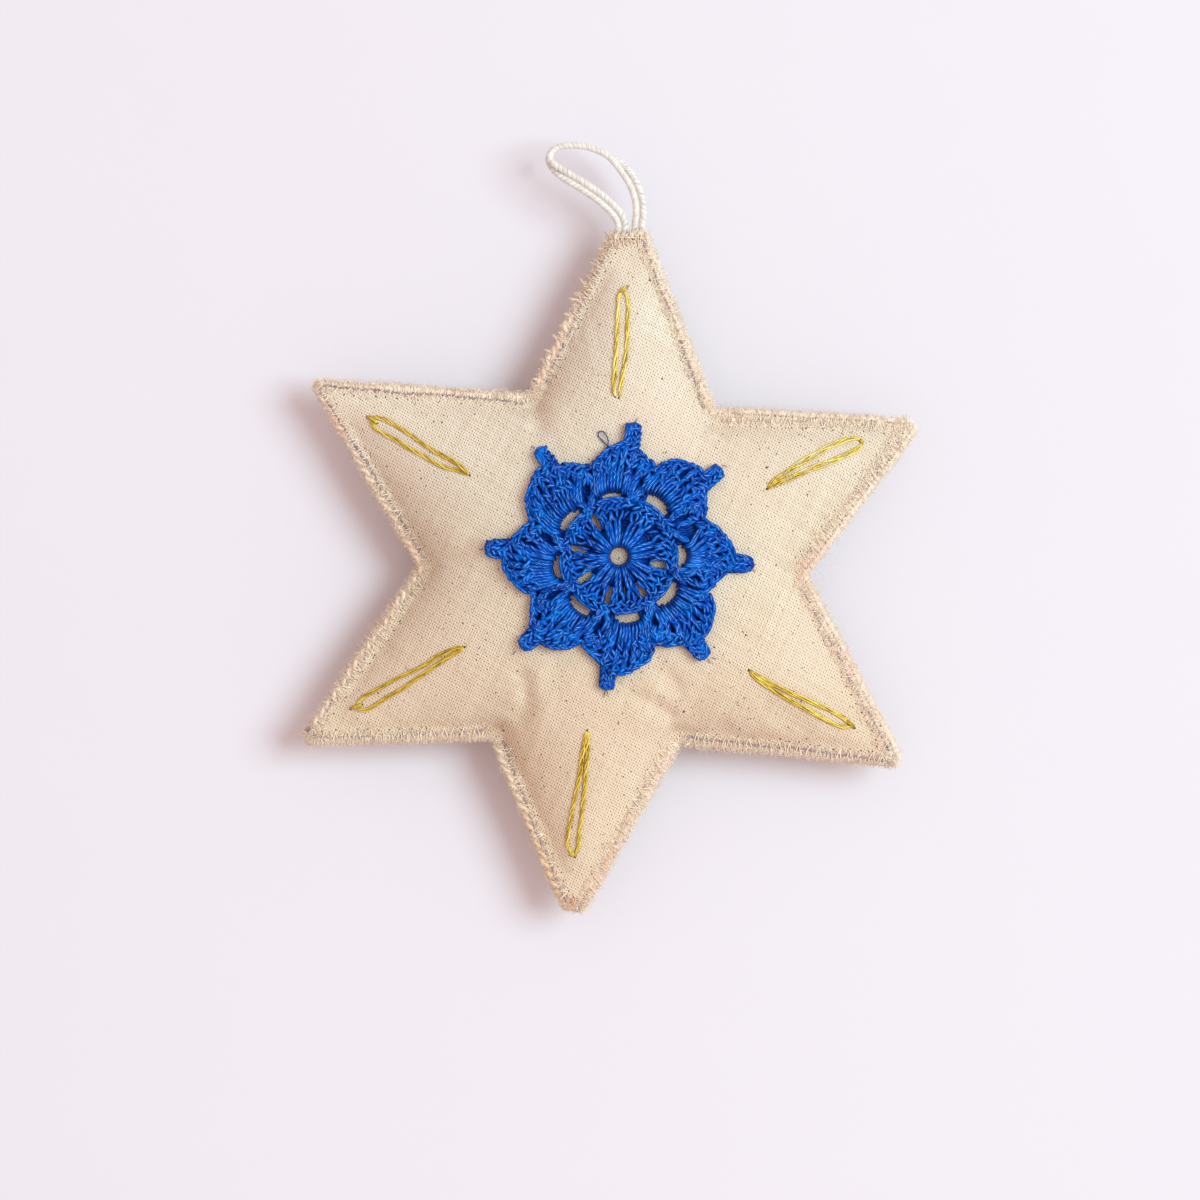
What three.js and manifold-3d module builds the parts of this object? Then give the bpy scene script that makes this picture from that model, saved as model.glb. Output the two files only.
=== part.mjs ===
// Stuffed six-pointed star ornament: two calico panels overcast together round the rim, a crocheted motif
// tacked on the front, six gold detached-chain stitches and a hanging loop of soutache braid.
// Millimetres, +Z out of the front face, +Y towards the hanging loop, origin under the middle of the star on
// the flat of its back.
import * as THREE from 'three';
import { mergeVertices } from 'three/addons/utils/BufferGeometryUtils.js';
import Module from 'manifold-3d';

// ---- driving dimensions ----
const EDGE_DISTANCE = 31.75;     // star's middle to each rim line
const SEAM_Z = 8.6;              // height of the seam above the back's flat
const FRONT_RISE = 11.4;         // front panel's crown above the seam band
const BACK_DROP = 10.6;          // back panel's crown below the seam band, before it flattens where it rests
const PANEL_T = 0.5;             // calico
const GAP = 0.3;                 // between pieces that touch
const BAND_W = 4.0;              // flat rim, outline to the start of the stuffing
const TIP_GAP = 1.75;            // extra parting of the panels in the top tip, for the braid's two ends
const LOOPER_T = 0.5;            // wrapped looper threads, taken as one sleeve
const TIP_OPEN = 2.6;            // the sleeve stops this far down each side of the top tip, to let the braid out
const THREAD_R = 0.28;           // overcast threads
const GOLD_R = 0.3;              // metallic thread
const CROCHET_T = 1.3;           // thickness of the crochet
const BRAID_W = 2.7;             // soutache braid
const BRAID_T = 1.3;
const HINGE_Y = 65.5;            // line about which the hanging loop flops
const ROWS = 8;                  // panel mesh rows, middle to rim

// star outline: [x, y] in order, counter-clockwise from the top tip's right corner; a tip has two corners
const TIPS = [
  { a: [3.6, 64.45], b: [-2.46, 63.56] },
  { a: [-55.3, 33.2], b: [-56.2, 31.9] },
  { a: [-54.2, -33.0], b: [-53.1, -34.3] },
  { a: [-4.2, -62.3], b: [-0.6, -62.5] },
  { a: [55.9, -32.2], b: [56.4, -30.5] },
  { a: [55.8, 30.5], b: [55.0, 31.9] },
];
const NOTCHES = [[-15.9, 32.8], [-34.4, -0.4], [-19.3, -31.5], [15.5, -30.4], [36.7, 2.45], [18.6, 31.8]];

// gold stitches: outer end, inner end, width at the widest
const GOLD = [
  { name: 'top', outer: [0.55, 53.4], inner: [0.22, 33.3], w: 2.3 },
  { name: 'upper_left', outer: [-45.2, 26.7], inner: [-26.0, 17.3], w: 2.2 },
  { name: 'lower_left', outer: [-45.4, -27.3], inner: [-25.4, -14.9], w: 2.3 },
  { name: 'bottom', outer: [-2.9, -52.0], inner: [-2.0, -29.0], w: 2.3 },
  { name: 'lower_right', outer: [47.4, -25.1], inner: [27.6, -16.1], w: 2.3 },
  { name: 'upper_right', outer: [45.9, 27.35], inner: [29.0, 18.2], w: 2.5 },
];

// crochet motif: middle, picot directions in degrees from +X, radii of its rounds
const MOTIF = [2.25, 3.7];
const PICOTS = [86.9, 43.2, -1.5, -44.4, -92.4, -133.8, -179.8, -229.1];
const MOTIF_HOLE_R = 1.9;
const ARCH_IN_R = 11.2;
const ARCH_OUT_R = 12.7;
const VALLEY_R = 15.8;
const CREST_R = 18.2;
const PICOT_R = 24.8;

// hanging loop, seen from the front: root of the left limb, round, to the root of the right limb
const LOOP = [
  [-0.72, 65.8, 8.6], [-1.7, 67.2, 8.9], [-4.6, 69.6, 9.4], [-8.4, 72.0, 9.5], [-11.6, 73.7, 9.2],
  [-13.9, 75.2, 8.8], [-14.9, 76.9, 8.4], [-14.0, 78.6, 8.2], [-11.6, 79.4, 8.3], [-8.0, 79.3, 8.6],
  [-4.2, 78.0, 9.0], [-1.2, 75.7, 9.3], [0.9, 73.0, 9.4], [2.1, 70.1, 9.2], [2.45, 67.6, 8.9], [2.35, 65.8, 8.6],
];
const TAILS = { left: [-0.72, -0.9], right: [2.35, 2.2] };   // x at the rim, x at the inner end
const TAIL_Y = [64.4, 55.5];

// ---- stuffed shape ----
const outline = [];
for (let i = 0; i < 6; i++) {
  if (i === 0) outline.push(TIPS[0].a, TIPS[0].b, NOTCHES[0]);
  else outline.push(TIPS[i].a, TIPS[i].b, NOTCHES[i]);
}
const scaled = (p, t) => [p[0] * t, p[1] * t];
const bandT = 1 - BAND_W / EDGE_DISTANCE;
const rimInT = 1 - (LOOPER_T + 0.02) / EDGE_DISTANCE;
const panelT = rimInT - GAP / EDGE_DISTANCE;

function inside(x, y, t) {
  let hit = false;
  for (let i = 0, j = outline.length - 1; i < outline.length; j = i++) {
    const [xi, yi] = scaled(outline[i], t), [xj, yj] = scaled(outline[j], t);
    if (yi > y !== yj > y && x < ((xj - xi) * (y - yi)) / (yj - yi) + xi) hit = !hit;
  }
  return hit;
}

// how far out a point lies: 0 in the middle, 1 on the outline
function share(x, y) {
  for (let i = 0; i < outline.length; i++) {
    const [ax, ay] = outline[i], [bx, by] = outline[(i + 1) % outline.length];
    const d = ax * by - ay * bx, a = (x * by - y * bx) / d, b = (ax * y - ay * x) / d;
    if (a >= -1e-9 && b >= -1e-9) return a + b;
  }
  return 0;
}

// a membrane held at the seam and pushed out evenly gives the stuffed profile
const STEP = 1.25, HALF = 56;
const SIDE = 2 * HALF + 1;
const at = (i, j) => i * SIDE + j;
const membrane = new Float64Array(SIDE * SIDE);
const free = [];
for (let i = 1; i < SIDE - 1; i++)
  for (let j = 1; j < SIDE - 1; j++)
    if (inside((i - HALF) * STEP, (j - HALF) * STEP, bandT)) free.push(at(i, j));
for (let n = 0; n < 500; n++)
  for (const k of free)
    membrane[k] += 1.85 * ((membrane[k - 1] + membrane[k + 1] + membrane[k - SIDE] + membrane[k + SIDE] + STEP * STEP) / 4 - membrane[k]);
let peak = 0;
for (const k of free) peak = Math.max(peak, membrane[k]);
const SOFT = 2.2;
const profile = (u) => Math.sqrt(2 * Math.max(u, 0) + SOFT * SOFT) - SOFT;
const peakProfile = profile(peak);
function plump(x, y) {
  const fx = Math.min(Math.max(x / STEP + HALF, 0), SIDE - 2), fy = Math.min(Math.max(y / STEP + HALF, 0), SIDE - 2);
  const i = Math.floor(fx), j = Math.floor(fy), a = fx - i, b = fy - j;
  const u = (1 - a) * (1 - b) * membrane[at(i, j)] + a * (1 - b) * membrane[at(i + 1, j)] +
    (1 - a) * b * membrane[at(i, j + 1)] + a * b * membrane[at(i + 1, j + 1)];
  return profile(u) / peakProfile * Math.sqrt(Math.min(Math.max((bandT - share(x, y)) / 0.05, 0), 1));
}
const tipPart = (y) => TIP_GAP / 2 * Math.min(Math.max((y - 47) / 8, 0), 1);
const seamHalf = (x, y) => GAP / 2 + tipPart(y);
const frontIn = (x, y) => SEAM_Z + seamHalf(x, y) + FRONT_RISE * plump(x, y);
const frontOut = (x, y) => frontIn(x, y) + PANEL_T;
const backOut = (x, y) => Math.max(0, SEAM_Z - seamHalf(x, y) - PANEL_T - BACK_DROP * plump(x, y));
const backIn = (x, y) => backOut(x, y) + PANEL_T;

// ---- mesh helpers ----
const MAT = {
  calico: [0xead8bf, 0.92, 0], lining: [0xe6d3b8, 0.94, 0], fill: [0xf3f1ea, 1, 0], crochet: [0x1f4fa6, 0.7, 0],
  gold: [0xc9a227, 0.35, 0.7], rim: [0xe8d6bd, 0.95, 0], chain: [0xb9b2c4, 0.9, 0], needle: [0xf1e4d0, 0.9, 0],
  braid: [0xf4f0e4, 0.45, 0], tack: [0x1c2a4a, 0.9, 0],
};
function mesh(name, geometry, mat) {
  const [color, roughness, metalness] = MAT[mat];
  const m = new THREE.Mesh(geometry, new THREE.MeshStandardMaterial({ color, roughness, metalness }));
  m.name = name;
  return m;
}
function fromFaces(points, faces) {
  const g = new THREE.BufferGeometry();
  g.setAttribute('position', new THREE.Float32BufferAttribute(points.flat(), 3));
  g.setIndex(faces.flat());
  return g;
}

// grid of the star: rows from the middle out to the panel's edge, each sector between two corners split alike
function starGrid(rows) {
  const points = [[0, 0]], faces = [], index = new Map([['0,0', 0]]);
  const rim = [];
  const put = (p) => {
    const key = p.map((c) => c.toFixed(3)).join();
    if (!index.has(key)) { index.set(key, points.length); points.push(p); }
    return index.get(key);
  };
  for (let s = 0; s < outline.length; s++) {
    const c0 = outline[s], c1 = outline[(s + 1) % outline.length];
    const grid = rows.map((t, i) => {
      if (i === 0) return [0];
      const n = Math.hypot(c1[0] - c0[0], c1[1] - c0[1]) < 8 ? 1 : i;
      return Array.from({ length: n + 1 }, (_, j) => put(scaled([c0[0] + (c1[0] - c0[0]) * j / n, c0[1] + (c1[1] - c0[1]) * j / n], t)));
    });
    for (let i = 1; i < rows.length; i++) {
      const a = grid[i - 1], b = grid[i];
      if (a.length === b.length) {
        for (let j = 0; j + 1 < b.length; j++) { faces.push([a[j], b[j], b[j + 1]]); faces.push([a[j], b[j + 1], a[j + 1]]); }
      } else {
        for (let j = 0; j + 1 < b.length; j++) faces.push([a[Math.min(j, a.length - 1)], b[j], b[j + 1]]);
        for (let j = 0; j + 1 < a.length; j++) faces.push([a[j], b[j + 1], a[j + 1]]);
      }
    }
    const last = grid[rows.length - 1];
    for (let j = 0; j + 1 < last.length; j++) rim.push([last[j], last[j + 1]]);
  }
  return { points, faces: faces.filter(([a, b, c]) => a !== b && b !== c && a !== c), rim };
}
function shell(rows, top, bottom) {
  const { points, faces, rim } = starGrid(rows);
  const n = points.length;
  const all = [...points.map(([x, y]) => [x, y, top(x, y)]), ...points.map(([x, y]) => [x, y, bottom(x, y)])];
  const out = [...faces, ...faces.map(([a, b, c]) => [a + n, c + n, b + n])];
  for (const [a, b] of rim) out.push([a, a + n, b + n], [a, b + n, b]);
  return fromFaces(all, out);
}

// a swept tube on given points with a given section frame, open with end caps or closed on itself
function sweep(points, section, closed, up = [0, 0, 1]) {
  const verts = [], faces = [], n = points.length, m = section.length, U = new THREE.Vector3(...up);
  points.forEach((p, i) => {
    const a = points[closed ? (i + n - 1) % n : Math.max(i - 1, 0)], b = points[closed ? (i + 1) % n : Math.min(i + 1, n - 1)];
    const t = new THREE.Vector3(b[0] - a[0], b[1] - a[1], b[2] - a[2]).normalize();
    const side = new THREE.Vector3().crossVectors(t, U).normalize();
    const top = new THREE.Vector3().crossVectors(side, t).normalize();
    for (const [u, v] of section) verts.push([p[0] + side.x * u + top.x * v, p[1] + side.y * u + top.y * v, p[2] + side.z * u + top.z * v]);
  });
  for (let i = 0; i < (closed ? n : n - 1); i++)
    for (let j = 0; j < m; j++) {
      const a = i * m + j, b = i * m + (j + 1) % m, c = ((i + 1) % n) * m + j, d = ((i + 1) % n) * m + (j + 1) % m;
      faces.push([a, c, b], [b, c, d]);
    }
  if (!closed) {
    for (let j = 1; j + 1 < m; j++) { faces.push([0, j, j + 1]); faces.push([(n - 1) * m, (n - 1) * m + j + 1, (n - 1) * m + j]); }
  }
  return fromFaces(verts, faces);
}
const round = (r, sides) => Array.from({ length: sides }, (_, i) => {
  const a = (2 * Math.PI * (i + 0.5)) / sides;
  return [r * Math.cos(a), r * Math.sin(a)];
});

const wasm = await Module();
wasm.setup();
function solid(geometry) {
  const g = geometry.clone();
  g.deleteAttribute('normal');
  g.deleteAttribute('uv');
  const m = mergeVertices(g, 1e-4);
  return new wasm.Manifold(new wasm.Mesh({ numProp: 3, vertProperties: new Float32Array(m.attributes.position.array), triVerts: new Uint32Array(m.index.array) }));
}
function back(manifold) {
  const m = manifold.getMesh();
  const g = new THREE.BufferGeometry();
  g.setAttribute('position', new THREE.BufferAttribute(new Float32Array(m.vertProperties), 3));
  g.setIndex(new THREE.BufferAttribute(new Uint32Array(m.triVerts), 1));
  return g;
}

// ---- the object ----
const star = new THREE.Group();
const body = new THREE.Group();
star.add(body);

// panels and stuffing
const rowsTo = (last) => [0, 0.17, 0.33, 0.48, 0.61, 0.715, 0.8, bandT, last];
const panelRows = rowsTo(panelT);
body.add(mesh('front_panel', shell(panelRows, frontOut, frontIn), 'calico'));
body.add(mesh('back_panel', shell(panelRows, backIn, backOut), 'lining'));
body.add(mesh('fibrefill_core', shell(panelRows.slice(0, ROWS - 1), (x, y) => frontIn(x, y) - GAP, (x, y) => backIn(x, y) + GAP), 'fill'));

// rim stations: corners, and steps along the two long edges of the top point
const stations = [];
outline.forEach((c, i) => {
  const d = outline[(i + 1) % outline.length];
  const length = Math.hypot(d[0] - c[0], d[1] - c[1]);
  const n = length < 8 ? 1 : Math.max(c[1], d[1]) > 45 ? ROWS : 2;
  for (let j = 0; j < n; j++) stations.push([c[0] + (d[0] - c[0]) * j / n, c[1] + (d[1] - c[1]) * j / n]);
});

// looper threads wrapped over the rim: a sleeve of C section that clears the panels' edges
{
  const verts = [], faces = [];
  const tIn = 1 - 2.1 / EDGE_DISTANCE;
  const span = stations.slice(1);
  const from = (p, q, d) => { const L = Math.hypot(q[0] - p[0], q[1] - p[1]); return [p[0] + (q[0] - p[0]) * d / L, p[1] + (q[1] - p[1]) * d / L]; };
  span[0] = from(stations[1], stations[2], TIP_OPEN);
  span.push(from(stations[0], stations[stations.length - 1], TIP_OPEN));
  for (const p of span) {
    const half = seamHalf(...scaled(p, panelT)) + PANEL_T + GAP;
    const ring = [[1, half + LOOPER_T], [tIn, half + LOOPER_T], [tIn, half], [rimInT, half], [rimInT, -half], [tIn, -half], [tIn, -half - LOOPER_T], [1, -half - LOOPER_T]];
    for (const [t, z] of ring) verts.push([...scaled(p, t), SEAM_Z + z]);
  }
  const n = span.length, e = (n - 1) * 8;
  for (let i = 0; i + 1 < n; i++)
    for (let j = 0; j < 8; j++) {
      const a = i * 8 + j, b = i * 8 + (j + 1) % 8, c = (i + 1) * 8 + j, d = (i + 1) * 8 + (j + 1) % 8;
      faces.push([a, c, b], [b, c, d]);
    }
  for (const [p, q, r, s] of [[0, 1, 2, 3], [0, 3, 4, 7], [4, 5, 6, 7]]) {
    faces.push([p, q, r], [p, r, s]);
    faces.push([e + p, e + r, e + q], [e + p, e + s, e + r]);
  }
  body.add(mesh('edge_looper_wrap', fromFaces(verts, faces), 'rim'));
}

// chain thread: a line round the front of the rim, just inside the wrapped loops
{
  const t = 1 - 2.7 / EDGE_DISTANCE;
  const line = stations.map((p) => {
    const q = scaled(p, t);
    return [...q, SEAM_Z + seamHalf(...scaled(p, panelT)) + PANEL_T + GAP + THREAD_R];
  });
  body.add(mesh('edge_chain_thread', sweep(line, round(THREAD_R, 4), true), 'chain'));
}

// needle thread: slanting stitches inside the chain, front and back
function zigzag(side) {
  const line = [];
  const tOut = 1 - 3.6 / EDGE_DISTANCE, tIn = 1 - 4.05 / EDGE_DISTANCE;
  outline.forEach((c, i) => {
    const d = outline[(i + 1) % outline.length];
    const length = Math.hypot(d[0] - c[0], d[1] - c[1]);
    if (length < 8) return;
    const n = 5, turns = i % 3 === 2 ? [[0, tIn]] : [];
    for (let j = 0; j < n; j++) turns.push([(j + 0.3) / n, tOut], [(j + 0.7) / n, tIn]);
    for (const [f, t] of turns) {
      const p = [c[0] + (d[0] - c[0]) * f, c[1] + (d[1] - c[1]) * f];
      const q = scaled(p, t);
      const z = side > 0 ? frontOut(...q) + GAP + THREAD_R + (t === tIn ? 0.35 : 0.15) : backOut(...q) - GAP - THREAD_R - (t === tIn ? 0.35 : 0.15);
      line.push([...q, z]);
    }
  });
  return sweep(line, round(THREAD_R, 4), true);
}
body.add(mesh('edge_needle_thread_front', zigzag(1), 'needle'));
body.add(mesh('edge_needle_thread_back', zigzag(-1), 'needle'));

// gold detached-chain stitches: a long loop lying on the point, with a tie-down stitch over its outer end
for (const g of GOLD) {
  const dx = g.inner[0] - g.outer[0], dy = g.inner[1] - g.outer[1], L = Math.hypot(dx, dy), ux = dx / L, uy = dy / L;
  const line = [];
  const lift = GAP + GOLD_R + 0.05;
  const put = (s, w) => {
    const x = g.outer[0] + ux * s - uy * w, y = g.outer[1] + uy * s + ux * w;
    line.push([x, y, frontOut(x, y) + lift]);
  };
  const side = [[0.35, 0.42], [1.3, 0.8], [3.2, 1], [6.5, 0.98], [10.5, 0.82], [14.5, 0.62]].map(([s, w]) => [s, w * (g.w / 2 - GOLD_R)]);
  side.push([L - 1.6, 0.42]);
  for (const [s, w] of side) put(s, w);
  put(L, 0);
  for (const [s, w] of side.slice().reverse()) put(s, -w);
  put(0, 0);
  const loop = solid(sweep(line, round(GOLD_R, 5), true));
  const tie = [-0.32, -0.1, 0.5, 1.2].map((s, i) => {
    const x = g.outer[0] + ux * s, y = g.outer[1] + uy * s;
    return [x, y, frontOut(x, y) + lift + [0, 0.35, 0.35, 0.05][i]];
  });
  body.add(mesh(`gold_stitch_${g.name}`, back(loop.add(solid(sweep(tie, round(GOLD_R, 5), false)))), 'gold'));
}

// crochet motif: a plate with a round middle hole, eight arch holes, scalloped petals and eight picots
const deg = Math.PI / 180;
const PER = 8;                                       // cells to a petal
const motifAngle = [];                               // petal k's picot lies at PICOTS[k]; cells are shared out between picots
for (let k = 0; k < 8; k++) {
  const a0 = PICOTS[k], a1 = k < 7 ? PICOTS[k + 1] : PICOTS[0] - 360;
  for (let j = 0; j < PER; j++) motifAngle.push((a0 + (a1 - a0) * j / PER) * deg);
}
{
  const A = motifAngle.length;
  const crest = (j) => VALLEY_R + (CREST_R - VALLEY_R) * Math.pow(Math.cos((j / PER) * Math.PI), 2);
  const rings = [() => MOTIF_HOLE_R, () => 6.5, () => ARCH_IN_R, () => ARCH_OUT_R, crest, () => 20.4, () => 22.7, () => PICOT_R];
  const picotHalf = [1.75, 1.3, 1.35, 0.8];
  const place = (r, c) => {
    const j = c % PER;
    const off = j <= PER / 2 ? j : j - PER;
    let radius = rings[r](j), angle = motifAngle[c];
    if (r >= 4 && Math.abs(off) <= 1) {
      const k = off < 0 ? (c + 1) % A : off > 0 ? c - 1 : c;
      angle = motifAngle[k] - off * (picotHalf[r - 4] / radius);
    }
    return [MOTIF[0] + radius * Math.cos(angle), MOTIF[1] + radius * Math.sin(angle)];
  };
  // the arch holes sit between the picots, turned a little against them
  const present = (r, c) => {
    const j = ((c % A) + A) % A % PER;
    if (r === 2) return !(j === 3 || j === 4);
    if (r >= 4) return j === 0 || j === PER - 1;
    return true;
  };
  const lift = GAP + 0.05;
  const verts = [], ids = new Map(), faces = [];
  const id = (r, c, side) => {
    const key = `${r},${(c + A) % A},${side}`;
    if (!ids.has(key)) {
      const [x, y] = place(r, (c + A) % A);
      const rim = r === 0 || r >= 4 ? 0.25 : 0;
      ids.set(key, verts.length);
      verts.push([x, y, frontOut(x, y) + lift + (side ? CROCHET_T - rim : 0)]);
    }
    return ids.get(key);
  };
  const R = rings.length - 1;
  const has = (r, c) => r >= 0 && r < R && present(r, c);
  for (let r = 0; r < R; r++)
    for (let c = 0; c < A; c++) {
      if (!has(r, c)) continue;
      for (const side of [1, 0]) {
        const a = id(r, c, side), b = id(r, c + 1, side), e = id(r + 1, c, side), f = id(r + 1, c + 1, side);
        if (side) faces.push([a, b, f], [a, f, e]); else faces.push([a, f, b], [a, e, f]);
      }
      const wall = (r0, c0, r1, c1) => {
        const a = id(r0, c0, 1), b = id(r1, c1, 1), e = id(r0, c0, 0), f = id(r1, c1, 0);
        faces.push([a, b, f], [a, f, e]);
      };
      if (!has(r - 1, c)) wall(r, c + 1, r, c);
      if (!has(r + 1, c)) wall(r + 1, c, r + 1, c + 1);
      if (!has(r, (c + 1) % A)) wall(r + 1, c + 1, r, c + 1);
      if (!has(r, (c + A - 1) % A)) wall(r, c, r + 1, c);
    }
  body.add(mesh('crochet_motif', fromFaces(verts, faces), 'crochet'));
}

// tacking stitches: a short thread over the outer part of each picot
PICOTS.forEach((a, k) => {
  const r = PICOT_R - 1.1, c = Math.cos(a * deg), s = Math.sin(a * deg);
  const x = MOTIF[0] + r * c, y = MOTIF[1] + r * s, w = 1.75;
  const line = [-1, -0.86, 0.86, 1].map((f, i) => {
    const px = x - s * f * w, py = y + c * f * w;
    return [px, py, frontOut(px, py) + (i === 0 || i === 3 ? GAP + 0.15 : CROCHET_T + 2 * GAP + 0.3)];
  });
  const t = sweep(line, round(0.18, 6), false, [c, s, 0.001]);
  body.add(mesh(`tack_stitch_${k + 1}`, t, 'tack'));
});

// loose end of the crochet cotton: a small standing loop above the upper left petal
{
  const cx = -2.1, cy = 25.1, line = [];
  for (let i = 0; i < 12; i++) {
    const a = (2 * Math.PI * i) / 12;
    const x = cx + 0.95 * Math.cos(a), y = cy + 1.45 * Math.sin(a);
    line.push([x, y, frontOut(x, y) + GAP + 0.25 + 0.25]);
  }
  body.add(mesh('loose_crochet_thread', sweep(line, round(0.16, 6), true), 'crochet'));
}

// braid: two ends sewn in the top tip, and the loop
const flat = (w, t) => [[-w / 2, 0], [-w * 0.36, -t / 2], [w * 0.36, -t / 2], [w / 2, 0], [w * 0.36, t / 2], [-w * 0.36, t / 2]];
for (const [name, [x0, x1]] of Object.entries(TAILS)) {
  const line = [0, 0.5, 1].map((f) => [x0 + (x1 - x0) * f, TAIL_Y[0] + (TAIL_Y[1] - TAIL_Y[0]) * f, SEAM_Z]);
  body.add(mesh(`loop_end_${name}`, sweep(line, flat(BRAID_W, BRAID_T), false), 'braid'));
}
const loopPath = new THREE.CatmullRomCurve3(LOOP.map((p) => new THREE.Vector3(...p)), false, 'centripetal');
const loopPoints = loopPath.getSpacedPoints(36).map((p) => [p.x, p.y, p.z]);
star.add(mesh('hanging_loop', sweep(loopPoints, flat(BRAID_W, BRAID_T), false), 'braid'));

export default star;
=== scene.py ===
import math

import bpy
import numpy as np
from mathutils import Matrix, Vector
from mathutils.bvhtree import BVHTree


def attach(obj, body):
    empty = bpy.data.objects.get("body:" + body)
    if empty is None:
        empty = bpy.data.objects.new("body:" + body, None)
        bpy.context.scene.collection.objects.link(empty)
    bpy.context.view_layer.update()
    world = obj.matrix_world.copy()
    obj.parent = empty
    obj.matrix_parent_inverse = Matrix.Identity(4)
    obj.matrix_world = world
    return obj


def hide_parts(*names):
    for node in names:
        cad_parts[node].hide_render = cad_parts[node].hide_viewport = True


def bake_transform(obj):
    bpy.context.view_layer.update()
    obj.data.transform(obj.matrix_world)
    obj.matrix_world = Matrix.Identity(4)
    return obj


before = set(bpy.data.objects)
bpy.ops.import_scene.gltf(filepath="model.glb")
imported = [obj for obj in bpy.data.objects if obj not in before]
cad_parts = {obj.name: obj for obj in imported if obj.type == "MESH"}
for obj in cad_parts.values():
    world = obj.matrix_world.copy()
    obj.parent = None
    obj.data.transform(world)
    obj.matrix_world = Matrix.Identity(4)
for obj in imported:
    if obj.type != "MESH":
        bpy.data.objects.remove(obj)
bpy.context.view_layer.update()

MM = 0.001

# ---------------------------------------------------------------- dimensions, in millimetres
SEAM_Z = 8.6
EDGE_D = 31.75
BAND_W = 4.0
TIP_GAP = 1.75
PX = 127.0 / 684.0            # millimetres to a pixel of the 1200 frame, at the seam's height
TILT = math.radians(3.3)      # how far the star is turned in the frame
VIEW_D = 1100.0               # camera to the seam's height
CAM = np.array([-0.76, -4.54])

TIPS = [((3.6, 64.45), (-2.46, 63.56)), ((-55.3, 33.2), (-56.2, 31.9)), ((-54.2, -33.0), (-53.1, -34.3)),
        ((-4.2, -62.3), (-0.6, -62.5)), ((55.9, -32.2), (56.4, -30.5)), ((55.8, 30.5), (55.0, 31.9))]
NOTCHES = [(-15.9, 32.8), (-34.4, -0.4), (-19.3, -31.5), (15.5, -30.4), (36.7, 2.45), (18.6, 31.8)]
OUTLINE = np.array([p for t, n in zip(TIPS, NOTCHES) for p in (t[0], t[1], n)])
MOTIF = np.array([2.25, 3.7])


def rng(seed):
    return np.random.default_rng(seed)


# ---------------------------------------------------------------- camera
def make_camera():
    data = bpy.data.cameras.new("camera")
    cam = bpy.data.objects.new("camera", data)
    bpy.context.scene.collection.objects.link(cam)
    cam.location = (CAM[0] * MM, CAM[1] * MM, (SEAM_Z + VIEW_D) * MM)
    cam.rotation_euler = (0, 0, TILT)
    data.sensor_width = 36.0
    data.lens = 36.0 * VIEW_D / (1200 * PX)
    data.clip_start = 0.05
    data.clip_end = 20
    bpy.context.scene.camera = cam
    return cam


def from_px(px, py, z=SEAM_Z):
    """A pixel of the 1200 frame as CAD x, y at height z (mm)."""
    k = PX * (VIEW_D - (z - SEAM_Z)) / VIEW_D
    dx, dy = (px - 600.0) * k, -(py - 600.0) * k
    c, s = math.cos(TILT), math.sin(TILT)
    return np.array([CAM[0] + dx * c - dy * s, CAM[1] + dx * s + dy * c])


make_camera()

# ---------------------------------------------------------------- stuffed shape
STEP = 0.5
X0, Y0 = -60.0, -68.0
NX, NY = int(120 / STEP) + 1, int(136 / STEP) + 1


def share(x, y):
    """How far out a point lies: 0 in the middle, 1 on the outline."""
    x, y = np.asarray(x, float), np.asarray(y, float)
    out = np.zeros(np.broadcast(x, y).shape)
    for i in range(len(OUTLINE)):
        (ax, ay), (bx, by) = OUTLINE[i], OUTLINE[(i + 1) % len(OUTLINE)]
        d = ax * by - ay * bx
        a, b = (x * by - y * bx) / d, (ax * y - ay * x) / d
        out = np.where((a >= -1e-9) & (b >= -1e-9), a + b, out)
    return out


def relax(u, mask, step, times):
    for _ in range(times):
        s = (np.roll(u, 1, 0) + np.roll(u, -1, 0) + np.roll(u, 1, 1) + np.roll(u, -1, 1) + step * step) / 4
        u = np.where(mask, s, 0)
    return u


def membrane():
    u = None
    for step in (4.0, 2.0, 1.0):
        nx, ny = int(120 / step) + 1, int(136 / step) + 1
        X, Y = np.meshgrid(X0 + step * np.arange(nx), Y0 + step * np.arange(ny), indexing="ij")
        mask = (share(X, Y) < 1 - BAND_W / EDGE_D) & (np.hypot(X, Y) < 62)
        if u is None:
            u = np.zeros((nx, ny))
        else:
            big = np.zeros((nx, ny))
            big[::2, ::2] = u
            big[1::2, ::2] = (big[:-1:2, ::2] + big[2::2, ::2]) / 2
            big[:, 1::2] = (big[:, :-1:2] + big[:, 2::2]) / 2
            u = big
        u = relax(u, mask, step, {4.0: 400, 2.0: 500, 1.0: 700}[step])
    return X, Y, u


def bilinear(grid, x, y, step, x0=X0, y0=Y0):
    fx = np.clip((np.asarray(x, float) - x0) / step, 0, grid.shape[0] - 1.001)
    fy = np.clip((np.asarray(y, float) - y0) / step, 0, grid.shape[1] - 1.001)
    i, j = fx.astype(int), fy.astype(int)
    a, b = fx - i, fy - j
    return ((1 - a) * (1 - b) * grid[i, j] + a * (1 - b) * grid[i + 1, j]
            + (1 - a) * b * grid[i, j + 1] + a * b * grid[i + 1, j + 1])


_, _, MEMBRANE = membrane()
_SOFT = 2.2


def _profile(u):
    return np.sqrt(2 * np.maximum(u, 0) + _SOFT ** 2) - _SOFT


_PEAK = _profile(MEMBRANE.max())


def plump(x, y):
    u = bilinear(MEMBRANE, x, y, 1.0)
    t = share(x, y)
    return _profile(u) / _PEAK * np.sqrt(np.clip((1 - BAND_W / EDGE_D - t) / 0.04, 0, 1))


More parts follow.
